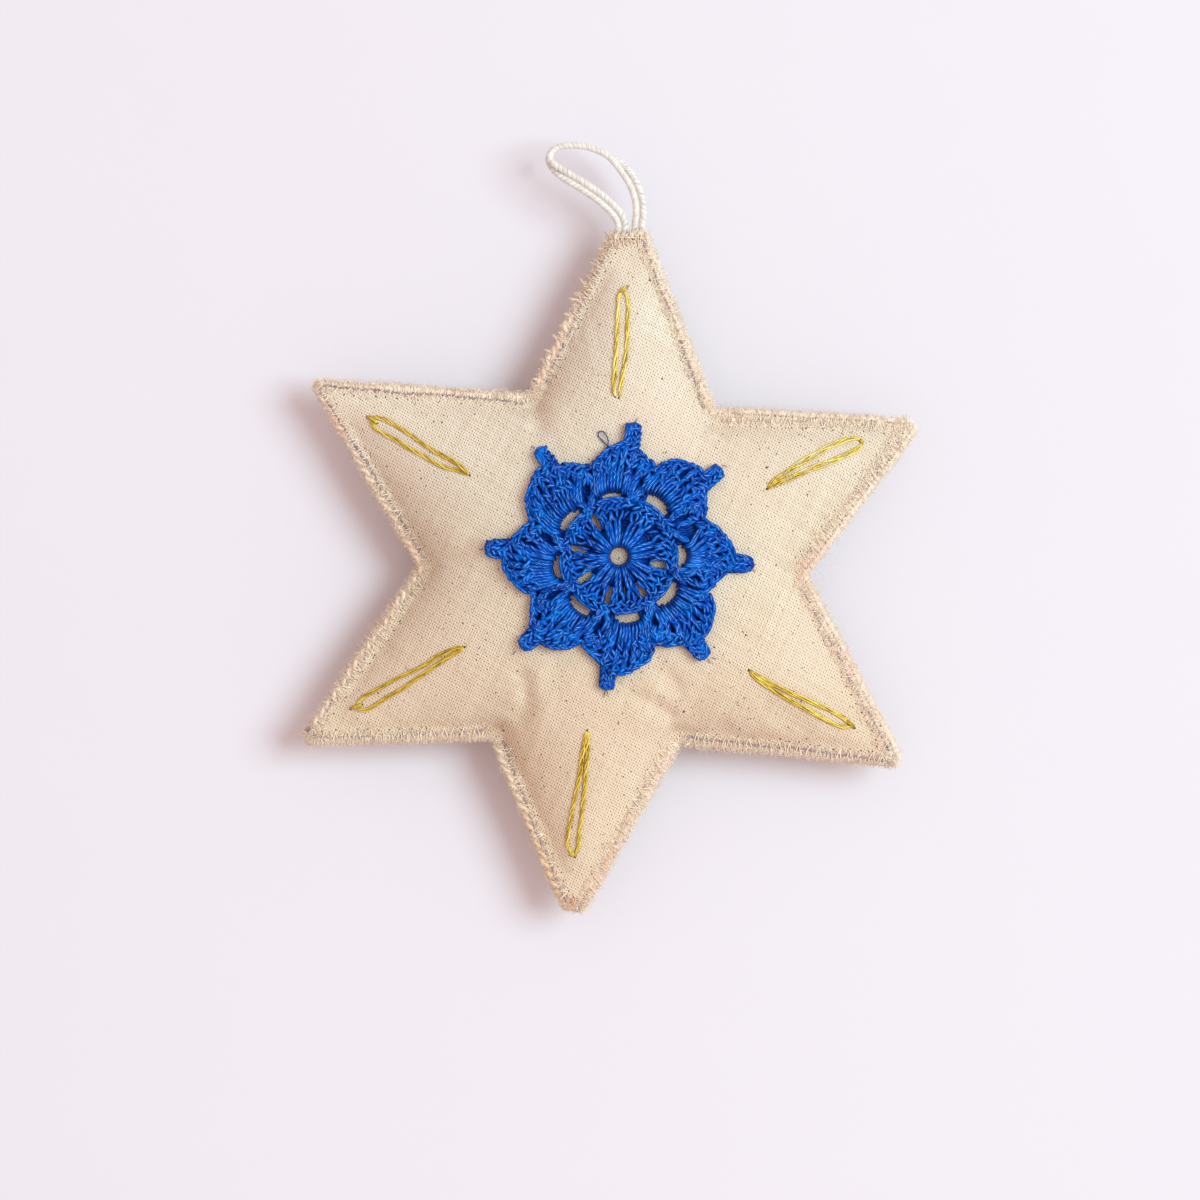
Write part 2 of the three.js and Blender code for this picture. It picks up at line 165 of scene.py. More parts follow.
def along_rim(x, y):
    """Arc length of the nearest rim place, and the distance inwards from the rim."""
    x, y = np.asarray(x, float), np.asarray(y, float)
    best = np.full(np.broadcast(x, y).shape, 1e9)
    arc = np.zeros_like(best)
    run = 0.0
    for i in range(len(OUTLINE)):
        a, b = OUTLINE[i], OUTLINE[(i + 1) % len(OUTLINE)]
        d = b - a
        L = np.hypot(*d)
        t = np.clip(((x - a[0]) * d[0] + (y - a[1]) * d[1]) / L ** 2, 0, 1)
        r = np.hypot(x - a[0] - t * d[0], y - a[1] - t * d[1])
        near = r < best
        best, arc = np.where(near, r, best), np.where(near, run + t * L, arc)
        run += L
    return arc, best


def creases(x, y, seed=5):
    """Soft folds: they run in from the notches, and small puckers stand along the seam."""
    x, y = np.asarray(x, float), np.asarray(y, float)
    z = np.zeros(np.broadcast(x, y).shape)
    r = rng(seed)
    for k, (nx, ny) in enumerate(NOTCHES):
        n = np.array([nx, ny]) * (1 - BAND_W / EDGE_D)
        inward = -n / np.hypot(*n)
        for turn, depth, length, wide in ((0, 0.62, 17, 1.9), (24, 0.32, 11, 1.3), (-27, 0.34, 12, 1.4), (46, 0.2, 9, 1.2), (-48, 0.22, 9, 1.2)):
            a = math.radians(turn + r.uniform(-6, 6))
            d = np.array([inward[0] * math.cos(a) - inward[1] * math.sin(a), inward[0] * math.sin(a) + inward[1] * math.cos(a)])
            s = (x - n[0]) * d[0] + (y - n[1]) * d[1]
            q = -(x - n[0]) * d[1] + (y - n[1]) * d[0] - 0.03 * s * s * r.uniform(-1, 1)
            w = wide * (0.6 + 0.07 * np.clip(s, 0, length))
            fade = np.clip(s / 1.5, 0, 1) * np.clip(1 - s / length, 0, 1) ** 1.5
            z -= depth * r.uniform(0.6, 1.3) * fade * np.exp(-(q / w) ** 2)
    arc, edge = along_rim(x, y)
    wave = sum(r.uniform(0.5, 1) * np.sin(2 * np.pi * arc / L + r.uniform(0, 6)) for L in (5.3, 7.1, 9.4, 12.7))
    z += 0.11 * wave * np.exp(-((edge - 5.2) / 2.6) ** 2)
    return z


def smooth_path(points, n, closed=False):
    """n points evenly along a Catmull-Rom curve through the given ones."""
    p = np.asarray(points, float)
    m = len(p)
    if closed:
        q = np.concatenate([p[-1:], p, p[:2]])
        spans = m
    else:
        q = np.concatenate([2 * p[:1] - p[1:2], p, 2 * p[-1:] - p[-2:-1]])
        spans = m - 1
    fine = []
    u = np.linspace(0, 1, 13)[:-1, None]
    for i in range(spans):
        a, b, c, d = q[i], q[i + 1], q[i + 2], q[i + 3]
        fine.append(0.5 * (2 * b + (c - a) * u + (2 * a - 5 * b + 4 * c - d) * u ** 2 + (3 * b - a - 3 * c + d) * u ** 3))
    fine = np.concatenate(fine + [p[:1] if closed else p[-1:]])
    s = np.concatenate([[0], np.cumsum(np.linalg.norm(np.diff(fine, axis=0), axis=1))])
    at = np.linspace(0, s[-1], n + 1)[:-1] if closed else np.linspace(0, s[-1], n)
    return np.stack([np.interp(at, s, fine[:, k]) for k in range(p.shape[1])], -1)


# folds that show in the front: places in the 1200 frame, depth and width in mm
FOLDS = [([(521, 660), (523, 680), (526, 696), (526, 709), (517, 721), (506, 731)], 0.5, 1.5),
         ([(682, 724), (666, 712), (650, 703), (634, 696), (614, 692)], 0.45, 1.3),
         ([(686, 697), (670, 681), (660, 666), (655, 650)], 0.4, 1.7),
         ([(425, 565), (440, 557), (455, 552), (470, 541), (485, 529)], 0.4, 1.5),
         ([(538, 398), (537, 412), (536, 428), (534, 448)], 0.45, 1.6),
         ([(499, 738), (504, 753), (510, 768)], 0.3, 1.1),
         ([(752, 702), (790, 716), (826, 727)], 0.35, 2.6),
         ([(715, 414), (720, 426), (722, 442)], 0.25, 1.3),
         ([(803, 573), (786, 572), (768, 568)], 0.3, 1.5),
         ([(700, 733), (720, 729), (742, 727)], 0.3, 1.3),
         ([(566, 640), (548, 690), (540, 716)], 0.2, 2.6)]


def folds(x, y):
    z = np.zeros(np.broadcast(x, y).shape)
    for places, depth, wide in FOLDS:
        q = np.array([from_px(a, b, SEAM_Z + 9.0) for a, b in places])
        fine = smooth_path(q, 24)
        best, at, side = np.full(z.shape, 1e9), np.zeros(z.shape), np.zeros(z.shape)
        for k in range(len(fine) - 1):
            a, d = fine[k], fine[k + 1] - fine[k]
            f = np.clip(((x - a[0]) * d[0] + (y - a[1]) * d[1]) / (d @ d), 0, 1)
            ex, ey = x - a[0] - f * d[0], y - a[1] - f * d[1]
            r = np.hypot(ex, ey)
            near = r < best
            best = np.where(near, r, best)
            at = np.where(near, (k + f) / (len(fine) - 1), at)
            side = np.where(near, np.sign(d[0] * ey - d[1] * ex) * r, side)
        fade = np.clip(at / 0.2, 0, 1) * np.clip((1 - at) / 0.4, 0, 1)
        fade = fade * fade * (3 - 2 * fade)
        z += depth * fade * (0.45 * np.exp(-((side - 2.1 * wide) / (1.5 * wide)) ** 2) - np.exp(-(side / wide) ** 2)) * (best < 8 * wide)
    return z


SEAM_IN = 2.7                 # the stuffed part starts this far inside the outline


def plump_soft(x, y):
    """The starting shape: the membrane carried out to the seam."""
    t = share(x, y)
    u = bilinear(MEMBRANE, np.asarray(x, float) * 0.965, np.asarray(y, float) * 0.965, 1.0)
    return _profile(u) / _PEAK * np.sqrt(np.clip((1 - SEAM_IN / EDGE_D - t) / 0.05, 0, 1))


def star_grid(rows):
    """Sector grid of the star: returns xy, triangles that face up, and the rim's edges."""
    pts, tris, rim, index = [np.zeros(2)], [], [], {(0, 0): 0}

    def put(p):
        key = (round(p[0] * 1000), round(p[1] * 1000))
        if key not in index:
            index[key] = len(pts)
            pts.append(p)
        return index[key]

    for s in range(len(OUTLINE)):
        c0, c1 = OUTLINE[s], OUTLINE[(s + 1) % len(OUTLINE)]
        short = np.hypot(*(c1 - c0)) < 8
        grid = []
        for i, t in enumerate(rows):
            if i == 0:
                grid.append([0])
                continue
            n = max(1, round(i * (0.1 if short else 1)))
            grid.append([put((c0 + (c1 - c0) * j / n) * t) for j in range(n + 1)])
        for a, b in zip(grid[:-1], grid[1:]):
            i = j = 0
            while i < len(a) - 1 or j < len(b) - 1:
                if i == len(a) - 1 or (j < len(b) - 1 and (j + 1) / max(len(b) - 1, 1) <= (i + 1) / max(len(a) - 1, 1) + 1e-9):
                    tris.append((a[i], b[j], b[j + 1]))
                    j += 1
                else:
                    tris.append((a[i], b[j], a[i + 1]))
                    i += 1
        last = grid[-1]
        rim += [(last[k], last[k + 1]) for k in range(len(last) - 1)]
    return np.array(pts), np.array([t for t in tris if len(set(t)) == 3]), np.array(rim)


def stuffed(seed, slack, frames=26, rows=40, pressure=9.0):
    """Height above the seam over the grid: a flat calico star, a little too large, sewn to the outline and blown up."""
    big = 10.0
    t_seam = 1 - SEAM_IN / EDGE_D
    xy, tris, rim = star_grid(list(np.linspace(0, t_seam, rows + 1)))
    h0 = 11.4 * 0.86 * plump_soft(xy[:, 0], xy[:, 1])
    r = rng(seed)
    h0 = h0 + r.normal(0, 0.05, len(h0)) * (h0 > 0.2)
    me = bpy.data.meshes.new("sewing")
    me.from_pydata((np.column_stack([xy, h0]) * MM * big).tolist(), [], tris.tolist())
    o = bpy.data.objects.new("sewing", me)
    bpy.context.scene.collection.objects.link(o)
    pin = o.vertex_groups.new(name="pin")
    pin.add([int(i) for i in np.unique(rim)], 1.0, "REPLACE")
    o.shape_key_add(name="Basis")
    flat = o.shape_key_add(name="flat")
    wave = 1 + slack + 0.012 * np.sin(xy[:, 0] / 7 + seed) * np.sin(xy[:, 1] / 9 + 2 * seed)
    co = np.column_stack([xy * wave[:, None], np.zeros(len(xy))]) * MM * big
    flat.data.foreach_set("co", co.astype(np.float32).ravel())
    mod = o.modifiers.new("cloth", "CLOTH")
    c = mod.settings
    c.quality = 7
    c.mass = 0.25
    c.air_damping = 2.0
    c.tension_stiffness = c.compression_stiffness = 22
    c.shear_stiffness = 9
    c.bending_stiffness = 0.35
    c.tension_damping = c.compression_damping = 12
    c.shear_damping = 8
    c.bending_damping = 0.6
    c.vertex_group_mass = "pin"
    c.pin_stiffness = 1.0
    c.rest_shape_key = flat
    c.use_pressure = True
    c.uniform_pressure_force = pressure
    c.effector_weights.gravity = 0
    mod.collision_settings.use_collision = False
    mod.collision_settings.use_self_collision = False
    mod.point_cache.frame_start = 1
    mod.point_cache.frame_end = frames
    scene = bpy.context.scene
    for f in range(1, frames + 1):
        scene.frame_set(f)
    got = o.evaluated_get(bpy.context.evaluated_depsgraph_get()).data
    v = np.empty(len(got.vertices) * 3, np.float32)
    got.vertices.foreach_get("co", v)
    v = v.reshape(-1, 3) / (MM * big)
    bpy.data.objects.remove(o, do_unlink=True)
    scene.frame_set(1)
    tree = BVHTree.FromPolygons([tuple(map(float, q)) for q in v], [tuple(map(int, q)) for q in tris])
    g = np.zeros((NX, NY))
    xs, ys = X0 + STEP * np.arange(NX), Y0 + STEP * np.arange(NY)
    inside = share(xs[:, None], ys[None, :]) < t_seam
    for i, j in zip(*np.nonzero(inside)):
        hit = tree.ray_cast(Vector((float(xs[i]), float(ys[j]), 60.0)), Vector((0, 0, -1)))[0]
        if hit is not None:
            g[i, j] = hit.z
    print("stuffed: highest", round(float(g.max()), 2), "mm")
    g = np.where(inside, (g * 4 + np.roll(g, 1, 0) + np.roll(g, -1, 0) + np.roll(g, 1, 1) + np.roll(g, -1, 1)) / 8, 0)
    return g * (11.4 / g.max())


_gx, _gy = np.meshgrid(X0 + STEP * np.arange(NX), Y0 + STEP * np.arange(NY), indexing="ij")
FRONT_H = stuffed(4, 0.045)
BACK_H = stuffed(9, 0.045, rows=32)
_low = np.clip((1 - SEAM_IN / EDGE_D - share(_gx, _gy)) / 0.06, 0, 1)
FRONT_H = FRONT_H + (1.7 * folds(_gx, _gy) + 0.4 * creases(_gx, _gy)) * _low
BACK_H = BACK_H + 0.8 * creases(_gx, _gy, 12) * _low


def seam_part(y):
    """Half the distance between the two layers where they are sewn: the braid's ends part them at the top."""
    return TIP_GAP / 2 * np.clip((np.asarray(y, float) - 47) / 8, 0, 1)


def front_z(x, y):
    return SEAM_Z + 0.65 + seam_part(y) + bilinear(FRONT_H, x, y, STEP)


def back_z(x, y):
    drop = SEAM_Z - 0.65 - seam_part(y) - 10.6 / 11.4 * bilinear(BACK_H, x, y, STEP)
    soft = 0.8
    return np.where(drop > soft, drop, np.where(drop < -soft, 0.0, (drop + soft) ** 2 / (4 * soft)))


FRONT = front_z(_gx, _gy)


def zf(x, y):
    return bilinear(FRONT, x, y, STEP)


def normal_at(x, y):
    e = 0.6
    dx = (zf(x + e, y) - zf(x - e, y)) / (2 * e)
    dy = (zf(x, y + e) - zf(x, y - e)) / (2 * e)
    n = np.stack([-dx, -dy, np.ones_like(dx)], -1)
    return n / np.linalg.norm(n, axis=-1, keepdims=True)


def on_front(xy, lift):
    """Points over the front panel: lift is along the panel's normal."""
    xy = np.asarray(xy, float)
    n = normal_at(xy[..., 0], xy[..., 1])
    p = np.concatenate([xy, zf(xy[..., 0], xy[..., 1])[..., None]], -1)
    return p + n * np.asarray(lift, float)[..., None]


def px_on_front(px, py, lift=0.0):
    p = from_px(px, py)
    for _ in range(4):
        p = from_px(px, py, float(zf(p[0], p[1])) + lift)
    return p


# ---------------------------------------------------------------- mesh building
def build(name, verts, faces, material, smooth=True, uv=None, attrs=None):
    """verts in mm (n, 3); faces a list of (m, k) index arrays."""
    me = bpy.data.meshes.new(name)
    verts = np.ascontiguousarray(np.asarray(verts, float) * MM, dtype=np.float32)
    me.vertices.add(len(verts))
    me.vertices.foreach_set("co", verts.ravel())
    groups = faces if isinstance(faces, (list, tuple)) else [faces]
    groups = [np.asarray(g, np.int32) for g in groups if len(g)]
    loops = np.concatenate([g.ravel() for g in groups])
    totals = np.concatenate([np.full(len(g), g.shape[1], np.int32) for g in groups])
    starts = np.concatenate([[0], np.cumsum(totals)[:-1]]).astype(np.int32)
    me.loops.add(len(loops))
    me.loops.foreach_set("vertex_index", loops)
    me.polygons.add(len(totals))
    me.polygons.foreach_set("loop_start", starts)
    me.polygons.foreach_set("loop_total", totals)
    me.polygons.foreach_set("use_smooth", np.full(len(totals), smooth))
    if uv is not None:
        layer = me.uv_layers.new(name="thread")
        layer.data.foreach_set("uv", np.asarray(uv, np.float32)[loops].ravel())
    for key, values in (attrs or {}).items():
        a = me.attributes.new(key, "FLOAT", "POINT")
        a.data.foreach_set("value", np.asarray(values, np.float32))
    me.update(calc_edges=True)
    me.validate()
    o = bpy.data.objects.new(name, me)
    bpy.context.scene.collection.objects.link(o)
    me.materials.append(material)
    return o


class Threads:
    """Collects tubes and makes one mesh of them. The UV is (length along in mm, turn about), and tint is one random number to a tube."""

    def __init__(self):
        self.v, self.uv, self.tint, self.faces, self.caps, self.count = [], [], [], [], [], 0
        self.centre = []

    def add(self, path, radius, sides=8, closed=False, flat=1.0, tint=None, up=None, spin=0.0):
        p = np.asarray(path, float)
        n = len(p)
        if closed:
            t = np.roll(p, -1, 0) - np.roll(p, 1, 0)
        else:
            t = np.gradient(p, axis=0)
        t /= np.maximum(np.linalg.norm(t, axis=1, keepdims=True), 1e-9)
        side = np.zeros_like(t)
        ref = np.array([0.0, 0, 1]) if up is None else np.asarray(up, float)
        if ref.ndim == 1:
            s = np.cross(t[0], ref)
            if np.linalg.norm(s) < 0.2:
                s = np.cross(t[0], [0.93, 0.31, 0.2])
            side[0] = s / np.linalg.norm(s)
            for i in range(1, n):            # carried along without turning
                s = side[i - 1] - t[i] * (side[i - 1] @ t[i])
                side[i] = s / max(np.linalg.norm(s), 1e-9)
            if closed:                       # spread what is left over the whole ring
                s = side[-1] - t[0] * (side[-1] @ t[0])
                s /= max(np.linalg.norm(s), 1e-9)
                b0 = np.cross(side[0], t[0])
                miss = math.atan2(-(s @ b0), s @ side[0])
                turn = miss * np.arange(n) / n
                b = np.cross(side, t)
                side = side * np.cos(turn)[:, None] + b * np.sin(turn)[:, None]
        else:
            side = np.cross(t, ref)
            side /= np.maximum(np.linalg.norm(side, axis=1, keepdims=True), 1e-9)
        top = np.cross(side, t)
        r = np.broadcast_to(np.asarray(radius, float), (n,))
        a = 2 * np.pi * (np.arange(sides) + 0.5) / sides + spin
        ring = (side[:, None] * np.cos(a)[None, :, None] + top[:, None] * (np.sin(a) * flat)[None, :, None]) * r[:, None, None]
        verts = (p[:, None] + ring).reshape(-1, 3)
        along = np.concatenate([[0], np.cumsum(np.linalg.norm(np.diff(p, axis=0), axis=1))])
        uv = np.stack([np.repeat(along, sides), np.tile(np.arange(sides) / sides, n)], -1)
        base = self.count
        i = np.arange(n if closed else n - 1)[:, None]
        j = np.arange(sides)[None, :]
        i2, j2 = (i + 1) % n, (j + 1) % sides
        q = np.stack([base + i * sides + j, base + i2 * sides + j, base + i2 * sides + j2, base + i * sides + j2], -1).reshape(-1, 4)
        self.faces.append(q)
        self.v.append(verts)
        self.uv.append(uv)
        tint = rng(base + 11).random() if tint is None else tint
        self.tint.append(np.repeat(np.asarray(tint, float), sides) if np.ndim(tint) else np.full(len(verts), tint))
        self.count += len(verts)
        if not closed:
            ends = np.array([p[0], p[-1]])
            self.v.append(ends)
            self.uv.append(np.array([[0, 0.5], [along[-1], 0.5]]))
            self.tint.append(np.full(2, self.tint[-1][0]))
            k = np.arange(sides)
            a0, a1 = self.count, self.count + 1
            self.caps.append(np.stack([np.full(sides, a0), base + k, base + (k + 1) % sides], -1))
            last = base + (n - 1) * sides
            self.caps.append(np.stack([np.full(sides, a1), last + (k + 1) % sides, last + k], -1))
            self.count += 2

    def make(self, name, material, slot):
        faces = [np.concatenate(self.faces)]
        if self.caps:
            faces.append(np.concatenate(self.caps))
        return build(name, np.concatenate(self.v), faces, material, uv=np.concatenate(self.uv), attrs={"tint": np.concatenate(self.tint)})


def plied(threads, path, plies, r_ply, r_wind, pitch, sides=6, closed=False, phase=0.0, step=0.12, tint=None, up=(0, 0, 1)):
    """A thread of several plies wound about a path."""
    path = np.asarray(path, float)
    loop = np.concatenate([path, path[:1]]) if closed else path
    length = np.linalg.norm(np.diff(loop, axis=0), axis=1).sum()
    n = max(int(length / step), 6)
    p = smooth_path(path, n, closed)
    t = np.roll(p, -1, 0) - np.roll(p, 1, 0) if closed else np.gradient(p, axis=0)
    t /= np.maximum(np.linalg.norm(t, axis=1, keepdims=True), 1e-9)
    side = np.cross(t, np.asarray(up, float))
    side /= np.maximum(np.linalg.norm(side, axis=1, keepdims=True), 1e-9)
    top = np.cross(side, t)
    s = np.arange(n) * (length / n)
    turns = round(length / pitch) / length if closed else 1 / pitch
    for k in range(plies):
        a = 2 * np.pi * (s * turns + k / plies) + phase
        q = p + r_wind * (side * np.cos(a)[:, None] + top * np.sin(a)[:, None])
        threads.add(q, r_ply, sides, closed, tint=tint)


# ---------------------------------------------------------------- materials
def srgb(r, g, b):
    return tuple(c / 12.92 if c <= 0.04045 else ((c + 0.055) / 1.055) ** 2.4 for c in (r / 255, g / 255, b / 255))


class Nodes:
    def __init__(self, name):
        self.m = bpy.data.materials.new(name)
        self.m.use_nodes = True
        self.t = self.m.node_tree
        self.t.nodes.clear()
        self.out = self.t.nodes.new("ShaderNodeOutputMaterial")
        self.bsdf = self.t.nodes.new("ShaderNodeBsdfPrincipled")
        self.t.links.new(self.bsdf.outputs[0], self.out.inputs[0])

    def put(self, node, key, value):
        if value is None:
            return
        if isinstance(value, bpy.types.NodeSocket):
            self.t.links.new(value, node.inputs[key])
        else:
            node.inputs[key].default_value = value

    def node(self, kind, props=None, **inputs):
        n = self.t.nodes.new(kind)
        for k, v in (props or {}).items():
            setattr(n, k, v)
        for k, v in inputs.items():
            self.put(n, k, v)
        return n

    def math(self, op, a, b=None, c=None, clamp=False):
        n = self.t.nodes.new("ShaderNodeMath")
        n.operation = op
        n.use_clamp = clamp
        for i, v in enumerate((a, b, c)):
            self.put(n, i, v)
        return n.outputs[0]

    def noise(self, vector, scale, detail=3.0, rough=0.5, out="Fac"):
        n = self.node("ShaderNodeTexNoise", Vector=vector, Scale=scale, Detail=detail, Roughness=rough)
        return n.outputs[out]

    def ramp(self, fac, stops, mode="LINEAR"):
        n = self.t.nodes.new("ShaderNodeValToRGB")
        n.color_ramp.interpolation = mode
        e = n.color_ramp.elements
        while len(e) < len(stops):
            e.new(0.5)
        for el, (p, c) in zip(e, stops):
            el.position = p
            el.color = (*c, 1) if len(c) == 3 else c
        self.put(n, 0, fac)
        return n.outputs[0]

    def mix(self, fac, a, b, mode="MIX"):
        n = self.t.nodes.new("ShaderNodeMix")
        n.data_type = "RGBA"
        n.blend_type = mode
        n.clamp_factor = True
        self.put(n, 0, fac)
        for i, v in ((6, a), (7, b)):
            if isinstance(v, tuple) and len(v) == 3:
                v = (*v, 1)
            self.put(n, i, v)
        return n.outputs[2]

    def bump(self, height, strength, distance, normal=None):
        n = self.node("ShaderNodeBump", Height=height, Strength=strength, Distance=distance)
        if normal is not None:
            self.put(n, "Normal", normal)
        return n.outputs[0]

    def finish(self, color, rough=None, normal=None, **rest):
        self.put(self.bsdf, "Base Color", (*color, 1) if isinstance(color, tuple) and len(color) == 3 else color)
        if rough is not None:
            self.put(self.bsdf, "Roughness", rough)
        if normal is not None:
            self.put(self.bsdf, "Normal", normal)
        for k, v in rest.items():
            self.put(self.bsdf, k, v)
        return self.m


def rotated(n, degrees):
    """Object coordinates in mm turned about Z, as separate x and y."""
    co = n.node("ShaderNodeTexCoord").outputs["Object"]
    m = n.node("ShaderNodeMapping", {"vector_type": "POINT"}, Vector=co, Scale=(1000.0, 1000.0, 1000.0))
    r = n.node("ShaderNodeVectorRotate", {"rotation_type": "Z_AXIS"}, Vector=m.outputs[0], Angle=math.radians(degrees))
    s = n.node("ShaderNodeSeparateXYZ", Vector=r.outputs[0])
    return r.outputs[0], s.outputs[0], s.outputs[1]


def calico(name, turn, painted_crochet_shade=False):
    n = Nodes(name)
    vec, x, y = rotated(n, turn)
    # the threads do not cross quite at right angles, and the warp is set closer than the weft
    x = n.math("DIVIDE", x, 0.448)
    y = n.math("DIVIDE", n.math("ADD", y, n.math("MULTIPLY", n.node("ShaderNodeSeparateXYZ", Vector=vec).outputs[0], math.tan(math.radians(6.0)))), 0.494)
    # threads wander a little
    wob = n.noise(vec, 0.35, 2.0)
    wob2 = n.noise(vec, 0.27, 2.0)
    u = n.math("MULTIPLY", n.math("ADD", x, n.math("MULTIPLY", wob, 1.3)), math.pi)
    v = n.math("MULTIPLY", n.math("ADD", y, n.math("MULTIPLY", wob2, 1.3)), math.pi)
    su, sv = n.math("SINE", u), n.math("SINE", v)
    over = n.math("MULTIPLY", su, sv)
    au, av = n.math("ABSOLUTE", su), n.math("ABSOLUTE", sv)
    warp = n.math("MULTIPLY", n.math("POWER", au, 0.5), n.math("ADD", n.math("MULTIPLY", over, 0.4), 0.6))
    weft = n.math("MULTIPLY", n.math("POWER", av, 0.5), n.math("SUBTRACT", 0.6, n.math("MULTIPLY", over, 0.4)))
    height = n.math("MAXIMUM", warp, weft)
    # holes where the gaps between threads cross, some wide and some shut
    hole = n.math("MULTIPLY", n.math("POWER", n.math("SUBTRACT", 1.0, au), 1.1), n.math("POWER", n.math("SUBTRACT", 1.0, av), 1.1))
    wide = n.math("ADD", 0.3, n.math("MULTIPLY", n.noise(vec, 1.3, 2.0), 1.7))
    hole = n.math("MULTIPLY", hole, wide)
    # every other one is pulled open by the crossing threads
    other = n.math("MULTIPLY", n.math("COSINE", u), n.math("COSINE", v))
    hole = n.math("MULTIPLY", hole, n.math("MULTIPLY_ADD", other, 0.38, 1.0))
    # thick and thin threads
    cx = n.node("ShaderNodeCombineXYZ", X=x, Y=n.math("MULTIPLY", y, 0.03))
    cy = n.node("ShaderNodeCombineXYZ", X=n.math("MULTIPLY", x, 0.03), Y=y)
    # the dots below are placed in mm again
    x, y = n.math("MULTIPLY", x, 0.448), n.math("MULTIPLY", y, 0.494)
    slub = n.math("ADD", n.noise(cx.outputs[0], 0.8, 2.0), n.noise(cy.outputs[0], 0.8, 2.0))
    cloud = n.noise(vec, 0.045, 3.0)
    co = n.node("ShaderNodeTexCoord").outputs["Object"]
    place = n.node("ShaderNodeSeparateXYZ", Vector=co)
    drift = n.math("MULTIPLY_ADD", n.math("SUBTRACT", n.math("MULTIPLY", place.outputs[0], 0.1), place.outputs[1]), 13.0, 0.55)
    drift = n.math("ADD", drift, n.math("MULTIPLY", n.math("SUBTRACT", n.noise(vec, 0.03, 2.0), 0.5), 0.9), clamp=True)
    thin = n.mix(drift, srgb(232, 220, 197), srgb(230, 205, 174))
    thick = n.mix(drift, srgb(246, 239, 221), srgb(245, 225, 196))
    cream = n.mix(n.math("SUBTRACT", n.math("MULTIPLY", slub, 2.0), 1.5, clamp=True), thin, thick)
    # warp and weft catch the light differently
    cream = n.mix(n.math("MULTIPLY", n.math("MULTIPLY_ADD", over, -0.5, 0.5), 0.22), cream, srgb(176, 150, 120))
    cream = n.mix(n.math("MULTIPLY", n.math("SUBTRACT", cloud, 0.46, clamp=True), 1.6, clamp=True), cream, srgb(242, 216, 196))
    # painted shade: the low parts of the weave between the threads are painted darker, and the holes where the gaps
    # cross are painted dark brown for the shade inside them
    cream = n.mix(n.math("MULTIPLY", n.math("SUBTRACT", 0.75, height), 0.26, clamp=True), cream, srgb(192, 162, 126))
    cream = n.mix(n.math("MULTIPLY", hole, 1.1, clamp=True), cream, srgb(122, 94, 70))
    # seed flecks, drawn out along a thread
    fl = None
    for k, (scale, size, stretch, keep) in enumerate(((0.21, 0.045, 1.0, 0.7), (0.3, 0.05, 1.6, 0.72), (0.5, 0.066, 0.75, 0.78), (0.8, 0.095, 1.3, 0.82))):
        c = n.node("ShaderNodeCombineXYZ", X=n.math("ADD", n.math("MULTIPLY", x, stretch), 31.7 * k), Y=n.math("ADD", n.math("DIVIDE", y, stretch), 17.3 * k))
        vo = n.node("ShaderNodeTexVoronoi", {"feature": "F1", "voronoi_dimensions": "2D"}, Vector=c.outputs[0], Scale=scale, Randomness=1.0)
        pick = n.node("ShaderNodeSeparateColor", Color=vo.outputs["Color"])
        chosen = n.math("GREATER_THAN", pick.outputs[0], keep)
        dot = n.math("SUBTRACT", 1.0, n.math("DIVIDE", vo.outputs["Distance"], n.math("MULTIPLY", n.math("ADD", pick.outputs[1], 0.4), size)), clamp=True)
        dot = n.math("MULTIPLY", n.math("MULTIPLY", dot, chosen), n.math("ADD", n.math("MULTIPLY", pick.outputs[2], 2.2), 0.7), clamp=True)
        fl = dot if fl is None else n.math("MAXIMUM", fl, dot)
    cream = n.mix(n.math("MULTIPLY", fl, 0.92), cream, srgb(70, 46, 32))
    # painted shade: the cloth within about 13 mm of the motif's middle, seen only through the crochet's holes, is
    # painted darker and greyer as the shade that the crochet casts on it
    if painted_crochet_shade:
        away = n.node("ShaderNodeVectorMath", {"operation": "SUBTRACT"})
        n.put(away, 0, n.node("ShaderNodeCombineXYZ", X=place.outputs[0], Y=place.outputs[1]).outputs[0])
        away.inputs[1].default_value = (MOTIF[0] * MM, MOTIF[1] * MM, 0.0)
        dist = n.node("ShaderNodeVectorMath", {"operation": "LENGTH"})
        n.put(dist, 0, away.outputs[0])
        inside = n.math("SUBTRACT", 1.0, n.math("MULTIPLY", n.math("SUBTRACT", dist.outputs["Value"], 0.0132), 400.0, clamp=True))
        cream = n.mix(n.math("MULTIPLY", inside, 0.26), cream, srgb(84, 76, 72))
    h = n.math("SUBTRACT", height, n.math("MULTIPLY", hole, 0.5))
    nrm = n.bump(h, 0.4, 0.0001)
    return n.finish(cream, 0.9, nrm, **{"Sheen Weight": 0.15, "Sheen Roughness": 0.6, "Specular IOR Level": 0.15})


